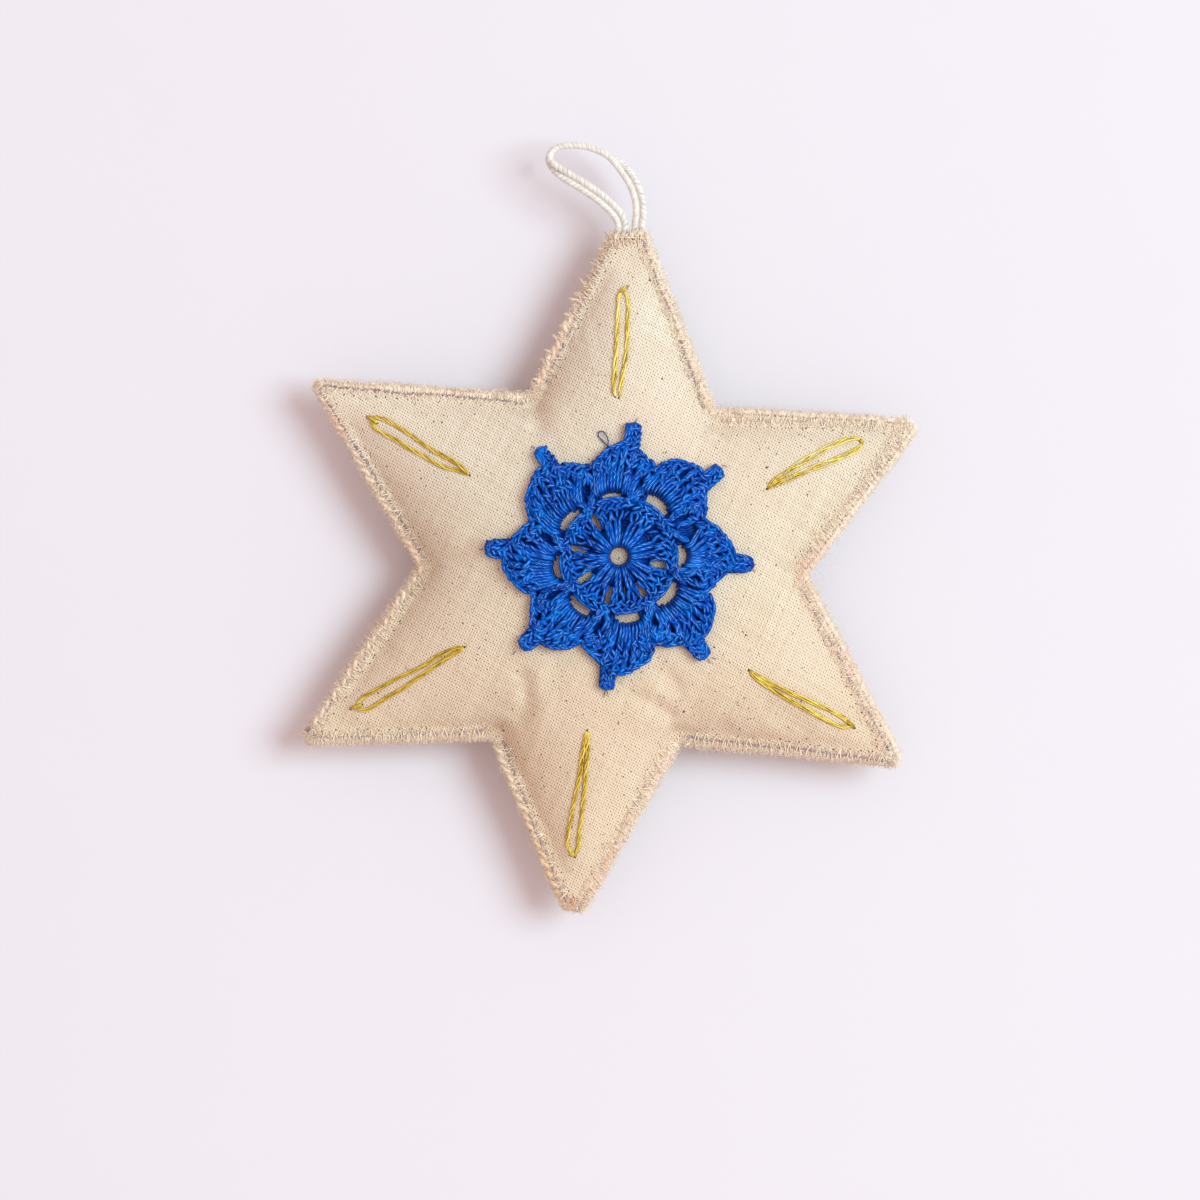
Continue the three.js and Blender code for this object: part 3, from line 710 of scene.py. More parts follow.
def cotton(name, dark, light, pitch=1.1, rough=0.85, sheen=0.3, strands=3, bump=0.5, depth=0.00006, spec=0.25, tint_spread=0.5, groove_shade=None, blush=None, flanks=True, **more):
    """Twisted thread: the twist is drawn from the tube's own length and turn."""
    n = Nodes(name)
    uv = n.node("ShaderNodeUVMap", {"uv_map": "thread"}).outputs[0]
    s = n.node("ShaderNodeSeparateXYZ", Vector=uv)
    tint = n.node("ShaderNodeAttribute", {"attribute_name": "tint"}).outputs["Fac"]
    turn = n.math("ADD", n.math("MULTIPLY", s.outputs[0], strands / pitch), n.math("MULTIPLY", s.outputs[1], float(strands)))
    wave = n.math("MULTIPLY_ADD", n.math("SINE", n.math("MULTIPLY", n.math("ADD", turn, n.math("MULTIPLY", tint, 7.0)), 2 * math.pi)), 0.5, 0.5)
    fine = n.math("MULTIPLY_ADD", n.math("SINE", n.math("MULTIPLY", turn, 8 * math.pi)), 0.5, 0.5)
    h = n.math("ADD", n.math("POWER", wave, 0.6), n.math("MULTIPLY", fine, 0.25))
    co = n.node("ShaderNodeTexCoord").outputs["Object"]
    spot = n.noise(co, 900.0, 2.0)
    # the twist is painted lighter on the plies' crowns and darker between them as painted light and shade; the tint and
    # the noise are the thread's own uneven colour
    tone_and_shade = n.math("ADD", n.math("MULTIPLY", wave, 0.5), n.math("ADD", n.math("MULTIPLY", tint, tint_spread), n.math("MULTIPLY", spot, 0.4)))
    color = n.mix(n.math("SUBTRACT", tone_and_shade, 0.25, clamp=True), dark, light)
    if blush is not None:
        patch = n.math("MULTIPLY", n.math("SUBTRACT", n.noise(co, 55.0, 3.0), 0.5, clamp=True), 5.0, clamp=True)
        color = n.mix(n.math("MULTIPLY", patch, 0.75), color, blush)
    if groove_shade is not None:
        # painted shade: the flanks of a strand lie in the groove beside its neighbour and are painted darker, and so
        # are strands with a tint below zero
        g = n.math("MULTIPLY", tint, -1.0, clamp=True)
        if flanks:
            nz = n.node("ShaderNodeSeparateXYZ", Vector=n.node("ShaderNodeTexCoord").outputs["Normal"]).outputs[2]
            g = n.math("MAXIMUM", g, n.math("MULTIPLY", n.math("SUBTRACT", 0.42, nz, clamp=True), 1.5, clamp=True))
        color = n.mix(g, color, groove_shade)
    # painted shade: the thread is painted darker and warmer in the lower left of the star, on its shaded side
    if blush is not None:
        at = n.node("ShaderNodeSeparateXYZ", Vector=co)
        low = n.math("MULTIPLY", n.math("SUBTRACT", -0.034, at.outputs[1]), 60.0, clamp=True)
        low = n.math("MULTIPLY", low, n.math("MULTIPLY_ADD", at.outputs[0], -90.0, 0.5, clamp=True))
        color = n.mix(n.math("MULTIPLY", low, 0.75), color, n.mix(1.0, color, srgb(248, 232, 206), "MULTIPLY"))
    return n.finish(color, rough, n.bump(h, bump, depth), **{"Sheen Weight": sheen, "Sheen Roughness": 0.4, "Specular IOR Level": spec, **more})


def crochet_cotton():
    """Mercerised cotton: three plies painted lighter on their crowns and darker between them, a sheen on top that is a
    painted highlight, and painted shade in the grooves and where a strand lies deep (tint below zero).
    """
    n = Nodes("crochet_cotton")
    uv = n.node("ShaderNodeUVMap", {"uv_map": "thread"}).outputs[0]
    s = n.node("ShaderNodeSeparateXYZ", Vector=uv)
    tint = n.node("ShaderNodeAttribute", {"attribute_name": "tint"}).outputs["Fac"]
    co = n.node("ShaderNodeTexCoord")
    nz = n.node("ShaderNodeSeparateXYZ", Vector=co.outputs["Normal"]).outputs[2]
    turn = n.math("ADD", n.math("MULTIPLY", s.outputs[0], 0.8), n.math("MULTIPLY", s.outputs[1], 6.0))
    ply = n.math("ABSOLUTE", n.math("SINE", n.math("MULTIPLY", n.math("ADD", turn, n.math("MULTIPLY", tint, 7.0)), math.pi)))
    obj = co.outputs["Object"]
    spot = n.noise(obj, 1300.0, 2.0)
    patch = n.noise(obj, 420.0, 2.0)
    hue = n.math("MULTIPLY_ADD", n.math("SUBTRACT", n.noise(obj, 330.0, 2.0), 0.5), 6.0, 0.5, clamp=True)
    tone_and_shade = n.math("ADD", n.math("MULTIPLY", ply, 0.5), n.math("ADD", n.math("MULTIPLY", tint, 0.5), n.math("ADD", n.math("MULTIPLY", spot, 0.3), n.math("MULTIPLY", patch, 1.6))))
    dark = n.mix(hue, srgb(6, 42, 134), srgb(0, 58, 148))
    light = n.mix(hue, srgb(14, 96, 214), srgb(0, 118, 228))
    color = n.mix(n.math("SUBTRACT", tone_and_shade, 1.12, clamp=True), dark, light)
    # painted highlight: streaks of light that run along the plies, on the strand's upper side
    st = n.node("ShaderNodeCombineXYZ", X=n.math("MULTIPLY", s.outputs[0], 0.9), Y=n.math("MULTIPLY", turn, 1.1), Z=n.math("MULTIPLY", tint, 60.0)).outputs[0]
    streak = n.math("MULTIPLY", n.math("SUBTRACT", n.noise(st, 1.0, 2.0), 0.42, clamp=True), 6.0, clamp=True)
    top = n.math("MULTIPLY", n.math("SUBTRACT", nz, 0.8, clamp=True), 6.0, clamp=True)
    painted_gloss = n.math("MULTIPLY", n.math("MULTIPLY", top, n.math("POWER", ply, 2.0)), streak)
    color = n.mix(n.math("MULTIPLY", painted_gloss, 0.9), color, srgb(112, 178, 255))
    # painted shade: the flanks of a strand and the strands that lie deep (tint below zero) are painted dark blue
    g = n.math("MULTIPLY", n.math("SUBTRACT", 0.74, nz, clamp=True), 1.7, clamp=True)
    g = n.math("MAXIMUM", g, n.math("MULTIPLY", tint, -1.0, clamp=True))
    color = n.mix(n.math("MULTIPLY", g, 0.85), color, srgb(2, 46, 140))
    return n.finish(color, 0.4, n.bump(n.math("ADD", ply, n.math("MULTIPLY", spot, 0.4)), 0.7, 0.00006),
                    **{"Specular IOR Level": 0.22, "Specular Tint": (0.1, 0.55, 1.0, 1.0)})


MAT_FRONT = calico("calico_front", 21.2, painted_crochet_shade=True)
MAT_BACK = calico("calico_back", -12.0)
MAT_BLUE = crochet_cotton()
MAT_RIM = cotton("rim_thread", srgb(212, 181, 154), srgb(255, 240, 218), 0.9, 0.9, 0.5, 2, 0.4, 0.00004, 0.15, 0.9, blush=srgb(240, 198, 174))
MAT_CHAIN = cotton("chain_thread", srgb(128, 104, 118), srgb(222, 200, 194), 0.7, 0.8, 0.3, 2, 0.6, 0.00005, 0.25, 0.7)
MAT_NEEDLE = cotton("needle_thread", srgb(240, 220, 194), srgb(255, 242, 224), 0.7, 0.6, 0.3, 2, 0.4, 0.00004, 0.4, 0.6, groove_shade=srgb(104, 76, 62), flanks=False)
MAT_TACK = cotton("tacking_thread", srgb(34, 24, 30), srgb(70, 56, 66), 0.6, 0.8, 0.2, 2, 0.5, 0.00003, 0.25, 0.4)
MAT_BRAID = cotton("soutache", srgb(221, 212, 198), srgb(255, 254, 250), 9.0, 0.3, 0.3, 7, 0.6, 0.00005, 0.75, 0.42)


def gold_thread():
    n = Nodes("gold_thread")
    uv = n.node("ShaderNodeUVMap", {"uv_map": "thread"}).outputs[0]
    s = n.node("ShaderNodeSeparateXYZ", Vector=uv)
    tint = n.node("ShaderNodeAttribute", {"attribute_name": "tint"}).outputs["Fac"]
    # foil wound flat round the core: it shines in long streaks, which are painted into the colour as painted highlights
    st = n.node("ShaderNodeCombineXYZ", X=n.math("MULTIPLY", s.outputs[0], 0.55), Y=n.math("MULTIPLY", s.outputs[1], 5.0), Z=n.math("MULTIPLY", tint, 40.0)).outputs[0]
    streak = n.noise(st, 1.0, 3.0)
    co = n.node("ShaderNodeTexCoord")
    spot = n.noise(co.outputs["Object"], 1500.0, 2.0)
    nz = n.node("ShaderNodeSeparateXYZ", Vector=co.outputs["Normal"]).outputs[2]
    f = n.math("ADD", n.math("MULTIPLY", n.math("MULTIPLY_ADD", streak, 1.7, -0.85), 0.9), n.math("ADD", n.math("MULTIPLY", tint, 0.5), n.math("MULTIPLY", spot, 0.25)))
    # painted light: the fibre's upper side is painted lighter
    f = n.math("ADD", f, n.math("MULTIPLY", n.math("SUBTRACT", nz, 0.5), 0.3))
    color = n.ramp(n.math("ADD", f, 0.02, clamp=True), [(0.0, srgb(132, 94, 8)), (0.3, srgb(198, 160, 34)), (0.6, srgb(238, 212, 84)), (0.85, srgb(250, 234, 140)), (1.0, srgb(255, 246, 188))])
    # painted shade: parts with a tint below zero, the holes where the thread goes down, are painted dark brown
    color = n.mix(n.math("MULTIPLY", tint, -1.0, clamp=True), color, srgb(62, 42, 16))
    return n.finish(color, 0.4, n.bump(streak, 0.3, 0.00003), Metallic=0.25, **{"Specular IOR Level": 0.6})


MAT_GOLD = gold_thread()


def fluff_material(name, a, b):
    n = Nodes(name)
    tint = n.node("ShaderNodeAttribute", {"attribute_name": "tint"}).outputs["Fac"]
    co = n.node("ShaderNodeTexCoord").outputs["Object"]
    f = n.math("ADD", n.math("MULTIPLY", tint, 0.7), n.math("MULTIPLY", n.noise(co, 500.0, 2.0), 0.4))
    return n.finish(n.mix(f, a, b), 0.95, None, **{"Sheen Weight": 0.4, "Specular IOR Level": 0.15})


MAT_FRAY = fluff_material("frayed_cotton", srgb(218, 188, 158), srgb(255, 242, 222))


def stuffing_material():
    n = Nodes("fibrefill")
    co = n.node("ShaderNodeTexCoord").outputs["Object"]
    a = n.noise(co, 260.0, 6.0, 0.7)
    b = n.noise(co, 1400.0, 4.0, 0.7)
    f = n.math("ADD", n.math("MULTIPLY", a, 0.6), n.math("MULTIPLY", b, 0.4))
    return n.finish(n.mix(f, srgb(214, 210, 202), srgb(252, 250, 246)), 1.0, n.bump(f, 0.8, 0.0006), **{"Sheen Weight": 0.3, "Specular IOR Level": 0.1})


MAT_FILL = stuffing_material()


# ---------------------------------------------------------------- panels
def panel_t():
    return 1 - 0.82 / EDGE_D


def panel(name, outer, thick, material, node, rows):
    xy, tris, rim = star_grid(rows)
    arc, edge = along_rim(xy[:, 0], xy[:, 1])
    z = outer(xy[:, 0], xy[:, 1])
    n = len(xy)
    top, bottom = (z, z - thick) if thick > 0 else (z - thick, z)
    v = np.concatenate([np.column_stack([xy, top]), np.column_stack([xy, bottom])])
    a, b = rim[:, 0], rim[:, 1]
    f = [np.concatenate([tris, tris[:, ::-1] + n]), np.stack([a, a + n, b + n, b], -1)]
    o = build(name, v, f, material)
    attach(o, "star")
    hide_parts(node)
    return o


def panel_rows(count):
    t = np.linspace(0, 1, count + 1)
    return list(t * panel_t())


ROWS = 72
front = panel("calico_front", front_z, 0.5, MAT_FRONT, "front_panel", panel_rows(ROWS))
back = panel("calico_back", back_z, -0.5, MAT_BACK, "back_panel", panel_rows(ROWS))


def stuffing():
    rows = list(np.linspace(0, 0.8, 31))
    xy, tris, rim = star_grid(rows)
    t = share(xy[:, 0], xy[:, 1])
    r = rng(3)
    lump = sum(np.sin(xy[:, 0] * r.uniform(0.15, 0.6) + r.uniform(0, 6)) * np.sin(xy[:, 1] * r.uniform(0.15, 0.6) + r.uniform(0, 6)) for _ in range(8)) / 8
    up = front_z(xy[:, 0], xy[:, 1]) - 1.0 - 0.5 * (lump + 0.8)
    dn = back_z(xy[:, 0], xy[:, 1]) + 0.9 + 0.3 * (lump + 0.8)
    shut = np.clip((t - 0.62) / 0.18, 0, 1) ** 2
    mid = (up + dn) / 2
    up, dn = up + (mid + 0.25 - up) * shut, dn + (mid - 0.25 - dn) * shut
    n = len(xy)
    v = np.concatenate([np.column_stack([xy, up]), np.column_stack([xy, dn])])
    a, b = rim[:, 0], rim[:, 1]
    o = build("fibrefill_wad", v, [np.concatenate([tris, tris[:, ::-1] + n]), np.stack([a, a + n, b + n, b], -1)], MAT_FILL)
    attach(o, "star")
    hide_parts("fibrefill_core")


stuffing()


# ---------------------------------------------------------------- rim
def rim_walk(inset, step, jitter=0.0, seed=1):
    """Points along the rim, inset from the outline, with the inward direction and the arc length."""
    out = []
    run = 0.0
    r = rng(seed)
    n = len(OUTLINE)
    corners = OUTLINE * (1 - inset / EDGE_D)
    for i in range(n):
        a, b = corners[i], corners[(i + 1) % n]
        d = b - a
        L = np.hypot(*d)
        if L < 1e-6:
            continue
        u = d / L
        inward = np.array([-u[1], u[0]])
        k = max(1, round(L / step))
        for j in range(k):
            s = (j + 0.5) / k * L + r.uniform(-1, 1) * jitter
            out.append((a + u * s, inward, u, run + s, L, s, i))
        run += L
    return out


# how much of the lilac line shows along each edge
LILAC = {1: 0.6, 2: 1.0, 4: 0.95, 5: 0.3, 7: 0.6, 8: 0.85, 10: 0.3, 11: 1.0, 13: 0.45, 14: 0.25, 16: 0.3, 17: 0.8}


# how far the overcasting stands out beyond the cut edge, more or less than usual
STAND = {1: -0.1, 2: -0.1, 5: 0.3, 13: 0.4, 14: 0.45, 16: 0.4, 17: -0.05}


# how much loose yarn lies on the inner side of the overcasting
MESS = {1: 0.4, 2: 0.15, 4: 0.3, 5: 0.3, 7: 0.3, 8: 0.35, 10: 0.35, 11: 0.2, 13: 0.55, 14: 0.8, 16: 0.4, 17: 0.6}


def facing(inward):
    """0 on the edges that face left, 1 on those that face right; the rim threads' tints use it, so they are painted
    lighter where the edge faces the light, as painted light.
    """
    return float(np.clip(0.5 - 0.6 * inward[0] - 0.1 * inward[1], 0, 1))


def from_tip(edge, s, L):
    """0 at the tip and 1 at the notch of the edge."""
    return s / L if edge % 3 == 1 else 1 - s / L


def at_top_tip(p, inward):
    return p[1] > 60.5 and abs(inward[1]) > 0.8


def rim_half(y):
    return 0.65 + TIP_GAP / 2 * np.clip((y - 47) / 8, 0, 1)


def wobble(r, lengths, arc):
    return sum(r.uniform(0.6, 1.0) * np.sin(2 * np.pi * arc / L + r.uniform(0, 6.3)) for L in lengths) / len(lengths)


def swell(arc):
    """How far the overcasting stands out here, -1 to 1."""
    return 0.5 * np.sin(arc / 3.1 + 0.7) + 0.3 * np.sin(arc / 1.27 + 2.0) + 0.2 * np.sin(arc / 7.9)


def loopers():
    """The overcast rim: a loose two-ply cord that lies along the edge, thin legs that wrap over it, and frayed yarn between."""
    th = Threads()
    r = rng(21)
    walk = [w for w in rim_walk(0.5, 0.5, 0.0, 2) if not at_top_tip(w[0] + np.array([0, 0.6]), w[1])]
    arcs = np.array([w[3] for w in walk])
    # it shows most on the edges that face left, and lies under the legs elsewhere
    bold = np.array([np.clip(w[1][0], 0, 1) for w in walk])
    bold = np.convolve(np.concatenate([bold[-6:], bold, bold[:6]]), np.ones(13) / 13, "valid")
    ww = wobble(r, (2.3, 3.9, 7.7), arcs) * 0.22 + 0.42 * bold - 0.3 + 0.12 * swell(arcs)
    wz = wobble(r, (3.1, 5.3, 9.1), arcs) * 0.25 + 0.5 * bold - 0.25
    line = [(w[0][0] - w[1][0] * a, w[0][1] - w[1][1] * a, SEAM_Z + b, c) for w, a, b, c in zip(walk, ww, wz, bold)]
    start = max(range(len(line)), key=lambda i: np.hypot(line[i][0] - line[i - 1][0], line[i][1] - line[i - 1][1]))
    line = np.array(line[start:] + line[:start])
    p = smooth_path(line, len(line) * 3)
    p, fat = p[:, :3], 0.86 + 0.32 * p[:, 3]
    t = np.gradient(p, axis=0)
    t /= np.linalg.norm(t, axis=1, keepdims=True)
    side = np.cross(t, [0, 0, 1.0])
    side /= np.linalg.norm(side, axis=1, keepdims=True)
    s = np.arange(len(p)) * np.linalg.norm(np.diff(p, axis=0), axis=1).mean()
    phase = 2 * np.pi * s / 3.9 + 0.8 * wobble(r, (11.0, 17.0, 29.0), s)
    for k in range(2):
        a = phase + np.pi * k
        q = p + (0.3 * fat)[:, None] * (side * np.cos(a)[:, None] + np.array([0, 0, 1.0]) * np.sin(a)[:, None])
        th.add(q, (0.34 + 0.07 * wobble(r, (0.9, 1.6, 2.9, 5.0), s)) * fat, 9, tint=0.45 + 0.3 * k)
        for j in range(3):       # loose filaments about each ply
            b = a + 2 * np.pi * s / 1.3 + j * 2.1
            rr = (0.36 + 0.06 * wobble(r, (1.1, 2.3), s)) * fat
            q2 = q + rr[:, None] * (side * np.cos(b)[:, None] + np.array([0, 0, 1.0]) * np.sin(b)[:, None])
            th.add(q2, 0.09, 5, tint=r.uniform(0.5, 1.0))
    # a soft pad of yarn that the legs wrap: uneven strands side by side over the rim
    base = [w for w in rim_walk(0.0, 0.28, 0.0, 2) if not at_top_tip(w[0], w[1]) or w[4] < 3]
    lim = rng(60)
    barc = np.array([w[3] for w in base])
    bhalf = np.array([rim_half(w[0][1]) for w in base])
    bout = np.array([STAND.get(w[6], 0.0) for w in base]) + 0.15 * swell(barc)
    bout = np.convolve(np.concatenate([bout[-12:], bout, bout[:12]]), np.ones(25) / 25, "valid")
    # tone: how far the edge faces right; it flattens and thickens the pad there, and it paints the pad lighter on edges
    # that face the light and darker on those that face away, as painted light and shade
    tone = np.array([np.clip(0.42 - 0.55 * w[1][0] - 0.2 * w[1][1], 0.05, 0.95) for w in base])
    tone = np.convolve(np.concatenate([tone[-6:], tone, tone[:6]]), np.ones(13) / 13, "valid")
    for d, zf_, rad in ((1.15, 0.72, 0.2), (0.8, 0.84, 0.23), (0.45, 0.8, 0.24), (0.2, 0.55, 0.24), (0.1, 0.18, 0.24), (0.1, -0.18, 0.24), (0.2, -0.55, 0.24), (0.45, -0.8, 0.24), (0.8, -0.84, 0.23), (1.15, -0.72, 0.2)):
        a = d + (0.24 - 0.08 * tone) * wobble(lim, (0.8, 1.5, 2.6), barc) - (bout * (1.0 if d < 0.5 else 0.0))
        b = zf_ * (bhalf - 0.05) + (0.2 - 0.12 * tone) * wobble(lim, (0.7, 1.3, 2.9), barc)
        q = np.array([(w[0][0] + w[1][0] * k, w[0][1] + w[1][1] * k, SEAM_Z + h) for w, k, h in zip(base, a, b)])
        cut = max(range(len(q)), key=lambda i: np.hypot(*(q[i] - q[i - 1])[:2]))
        q = np.concatenate([q[cut:], q[:cut]])
        th.add(q, (rad + 0.04 * np.roll(tone, -cut)) * (1 + 0.28 * wobble(lim, (0.6, 1.1, 1.9), np.roll(barc, -cut))), 6, tint=np.clip(np.roll(tone, -cut) + 0.3 * wobble(lim, (0.9, 1.7, 3.3), np.roll(barc, -cut)), 0, 1))
    for p, inward, u, arc, L, s, edge in rim_walk(0.9, 0.54, 0.2, 4):
        if at_top_tip(p, inward) or r.random() < 0.14:
            continue
        half = rim_half(p[1])
        lean = r.normal(0, 0.36)
        depth = r.uniform(0.3, 1.2)
        rad = r.uniform(0.08, 0.15) * (1.0 + 0.08 * facing(inward))
        out = 0.3 * swell(arc) + r.uniform(-0.22, 0.3) + STAND.get(edge, 0.0)
        h = half + rad * 0.75
        low = 0.1 * facing(inward)
        pts = []
        for d, z, q in ((depth, h - 0.2, lean), (depth * 0.6, h + 0.12 - low, lean * 0.6), (0.3, h + 0.14 - low, 0.1 * lean), (-0.5, h * 0.72 + 0.12, -0.05), (-1.0 - out, 0.1, -0.1),
                        (-0.6, -h * 0.72, -0.1), (0.3, -h - 0.05, 0.1), (depth * 0.6, -h - 0.1, 0.3), (depth, -h + 0.15, 0.5)):
            c = p + inward * d + u * (q + r.uniform(-0.06, 0.06))
            pts.append((c[0], c[1], SEAM_Z + z))
        # painted light: the legs are painted lighter on edges that face right, towards the light
        th.add(smooth_path(pts, 20), rad, 6, tint=r.uniform(0.15, 0.6) + 0.4 * facing(inward))
    # frayed yarn ends: short curled pieces in the band
    for p, inward, u, arc, L, s, edge in rim_walk(0.5, 0.45, 0.2, 14):
        tip = at_top_tip(p, inward)
        for face in (1, -1) * (3 if tip else 1):
            if r.random() < 0.25:
                continue
            d0 = r.uniform(-0.2, 1.7 if tip else 1.0)
            a = r.uniform(0, 6.28)
            ln = r.uniform(0.5, 1.2) * (1.5 if tip else 1.0)
            top = rim_half(p[1]) + (0.1 if tip else 0.0)
            z0 = top * r.uniform(0.5, 1.05)
            pts = []
            for f in (0, 0.35, 0.7, 1.0):
                c = p + inward * (d0 - ln * f * 0.9 * abs(math.sin(a))) + u * (ln * f * math.cos(a))
                if tip:
                    c = c + inward * 0.35
                pts.append((c[0], c[1], SEAM_Z + face * (z0 + 0.3 * math.sin(3.1 * f) - 0.1 * f)))
            th.add(smooth_path(pts, 8), r.uniform(0.07, 0.14), 5)
    # and squiggles that have come loose and lie on the cloth beside the stitches
    for p, inward, u, arc, L, s, edge in rim_walk(0.0, 0.34, 0.12, 23):
        if at_top_tip(p, inward) or L < 3 or r.random() > MESS.get(edge, 0.2):
            continue
        o0 = p + inward * r.uniform(0.9, 2.9)
        a = r.uniform(0, 6.28)
        ln = r.uniform(0.5, 1.1)
        bend = r.uniform(-0.5, 0.5)
        pts = []
        for f in (0.0, 0.3, 0.65, 1.0):
            c = o0 + u * (math.cos(a) * ln * (f - 0.5) - math.sin(a) * bend * f * (1 - f) * 3) + inward * (math.sin(a) * ln * (f - 0.5) + math.cos(a) * bend * f * (1 - f) * 3)
            pts.append((c[0], c[1], max(float(zf(c[0], c[1])), SEAM_Z + 0.55) + (0.24 if 0 < f < 1 else 0.02)))
        th.add(smooth_path(pts, 8), r.uniform(0.06, 0.1), 5, tint=r.uniform(0.35, 1.0))
    a, b = OUTLINE[0], OUTLINE[1]
    for face in (1, -1):
        for k in range(26):
            f = (k + 0.5) / 26 + r.uniform(-0.02, 0.02)
            c = a + (b - a) * f
            inn = -np.array([math.sin(math.radians(8.4)) * -1, math.cos(math.radians(8.4))])
            reach = r.uniform(0.9, 2.4)
            lean = r.uniform(-0.9, 0.9)
            top = rim_half(c[1]) + 0.02
            pts = []
            for d, z, q in ((reach, 0.14, lean), (reach * 0.6, 0.26 + r.uniform(0, 0.14), lean * 0.6), (0.9, 0.2, lean * 0.2), (0.42, 0.12, 0.0), (0.34, -0.24, 0.0)):
                e = c + inn * d + np.array([q, 0.0])
                pts.append((e[0], e[1], SEAM_Z + face * (top + z)))
            th.add(smooth_path(pts, 12), r.uniform(0.08, 0.14), 5)
    o = th.make("edge_overcast_loops", MAT_RIM, "rim_thread")
    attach(o, "star")
    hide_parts("edge_looper_wrap")
    return o


loopers()


def line_inset(arc, f=0.5):
    """The lilac line wanders: near the rim by the tips, further in by the notches."""
    return 0.95 + 0.75 * f ** 1.3 + 0.14 * math.sin(arc / 5.1 + 1.0) + 0.1 * math.sin(arc / 1.9)


def chain_line():
    """The lilac line: short stitches end to end, a little askew."""
    th = Threads()
    r = rng(8)
    for p, inward, u, arc, L, s, edge in rim_walk(0.0, 1.05, 0.0, 2):
        if at_top_tip(p, inward) or L < 3 or r.random() > 0.1 + 0.9 * LILAC.get(edge, 0.5):
            continue
        d = line_inset(arc, from_tip(edge, s, L))
        end = min(s, L - s)
        if end < 1.1:
            continue
        ln = r.uniform(0.4, 0.54)
        sk = r.uniform(-0.26, 0.26)
        pts = []
        for f, h in ((-1.0, -0.1), (-0.75, 0.18), (0.0, 0.3), (0.75, 0.18), (1.0, -0.1)):
            c = p + u * (f * ln) + inward * (d + sk * f)
            pts.append((c[0], c[1], float(zf(c[0], c[1])) + h))
        show = LILAC.get(edge, 0.5)
        th.add(smooth_path(pts, 10), r.uniform(0.11, 0.15) + 0.03 * show, 7, tint=r.uniform(0.0, 0.5) + 0.9 * (1 - show))
    # its ends, by two of the tips
    for px, py in ((308.0, 729.0), (889.0, 748.5)):
        p0 = from_px(px, py, SEAM_Z + 0.9)
        for k in range(5):
            a = r.uniform(0, 6.28)
            c = np.array([p0[0], p0[1]]) + r.uniform(-0.28, 0.28, 2)
            e = np.array([math.cos(a), math.sin(a)]) * r.uniform(0.3, 0.5)
            z = max(float(zf(c[0], c[1])), SEAM_Z + 0.8)
            pts = [(c[0] - e[0], c[1] - e[1], z), (c[0] + e[1] * 0.3, c[1] - e[0] * 0.3, z + 0.2), (c[0] + e[0], c[1] + e[1], z + 0.02)]
            th.add(smooth_path(pts, 8), r.uniform(0.08, 0.12), 6, tint=0.0)
    o = th.make("edge_lilac_line", MAT_CHAIN, "chain_thread")
    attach(o, "star")
    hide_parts("edge_chain_thread")
    return o


chain_line()


# how close the needle stitches stand along each edge
NEEDLE = {1: 0.75, 2: 1.0, 4: 0.85, 5: 0.7, 7: 0.75, 8: 0.85, 10: 0.8, 11: 0.95, 13: 0.95, 14: 1.0, 16: 0.85, 17: 1.0}


def needle_stitches(name, side, node):
    """Cream stitches: from each needle hole inside the lilac line one or two legs run out over it."""
    th = Threads()
    r = rng(31 if side > 0 else 32)
    surf = zf if side > 0 else (lambda x, y: back_z(x, y))
    for i, (p, inward, u, arc, L, s, edge) in enumerate(rim_walk(0.0, 1.95, 0.16, 6)):
        if at_top_tip(p, inward) or L < 3 or min(s, L - s) < 1.2:
            continue
        d = line_inset(arc, from_tip(edge, s, L))
        hole = p + inward * (d + r.uniform(0.85, 1.25))
        show = NEEDLE.get(edge, 0.5)
        if edge == 2:
            legs = [(r.uniform(-1.35, -1.0), 1.2)]
        else:
            legs = [(-r.uniform(0.3, 0.8), 1.8)] + ([(r.uniform(0.3, 0.8), 1.6)] if r.random() < 0.75 else [])
        legs = [w for w in legs if r.random() < show]
        for lean, reach in legs:
            pts = []
            reach = reach * r.uniform(0.85, 1.1)
            for f, lift in ((0, -0.1), (0.06, 0.08), (0.25, 0.16), (0.55, 0.34), (0.85, 0.36), (1.0, 0.12)):
                c = hole - inward * (reach * f) + u * (lean * f + r.uniform(-0.03, 0.03))
                pts.append((c[0], c[1], float(surf(c[0], c[1])) + side * lift))
            th.add(smooth_path(pts, 12), r.uniform(0.075, 0.115), 6)
        # the hole that the needle left, in the shade of its stitch: a flat patch painted dark as painted shade
        if r.random() < 0.4:
            continue
        c = hole + inward * 0.16
        z = float(surf(c[0], c[1])) + side * 0.02
        e = inward * 0.13 + u * r.uniform(-0.08, 0.08)
        th.add([(c[0] - e[0], c[1] - e[1], z), (c[0], c[1], z + side * 0.02), (c[0] + e[0], c[1] + e[1], z)], [0.1, 0.15, 0.1], 8, flat=0.4, tint=-1.0)
    o = th.make(name, MAT_NEEDLE, "needle_thread")
    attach(o, "star")
    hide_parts(node)
    return o


needle_stitches("edge_needle_stitches_front", 1, "edge_needle_thread_front")
needle_stitches("edge_needle_stitches_back", -1, "edge_needle_thread_back")


# how far the tufts of broken fibre stand out along each edge, in mm
TUFT = {1: 1.6, 2: 0.5, 4: 0.75, 5: 0.75, 7: 0.65, 8: 0.7, 10: 0.75, 11: 0.6, 13: 0.7, 14: 0.85, 16: 0.75, 17: 0.8}


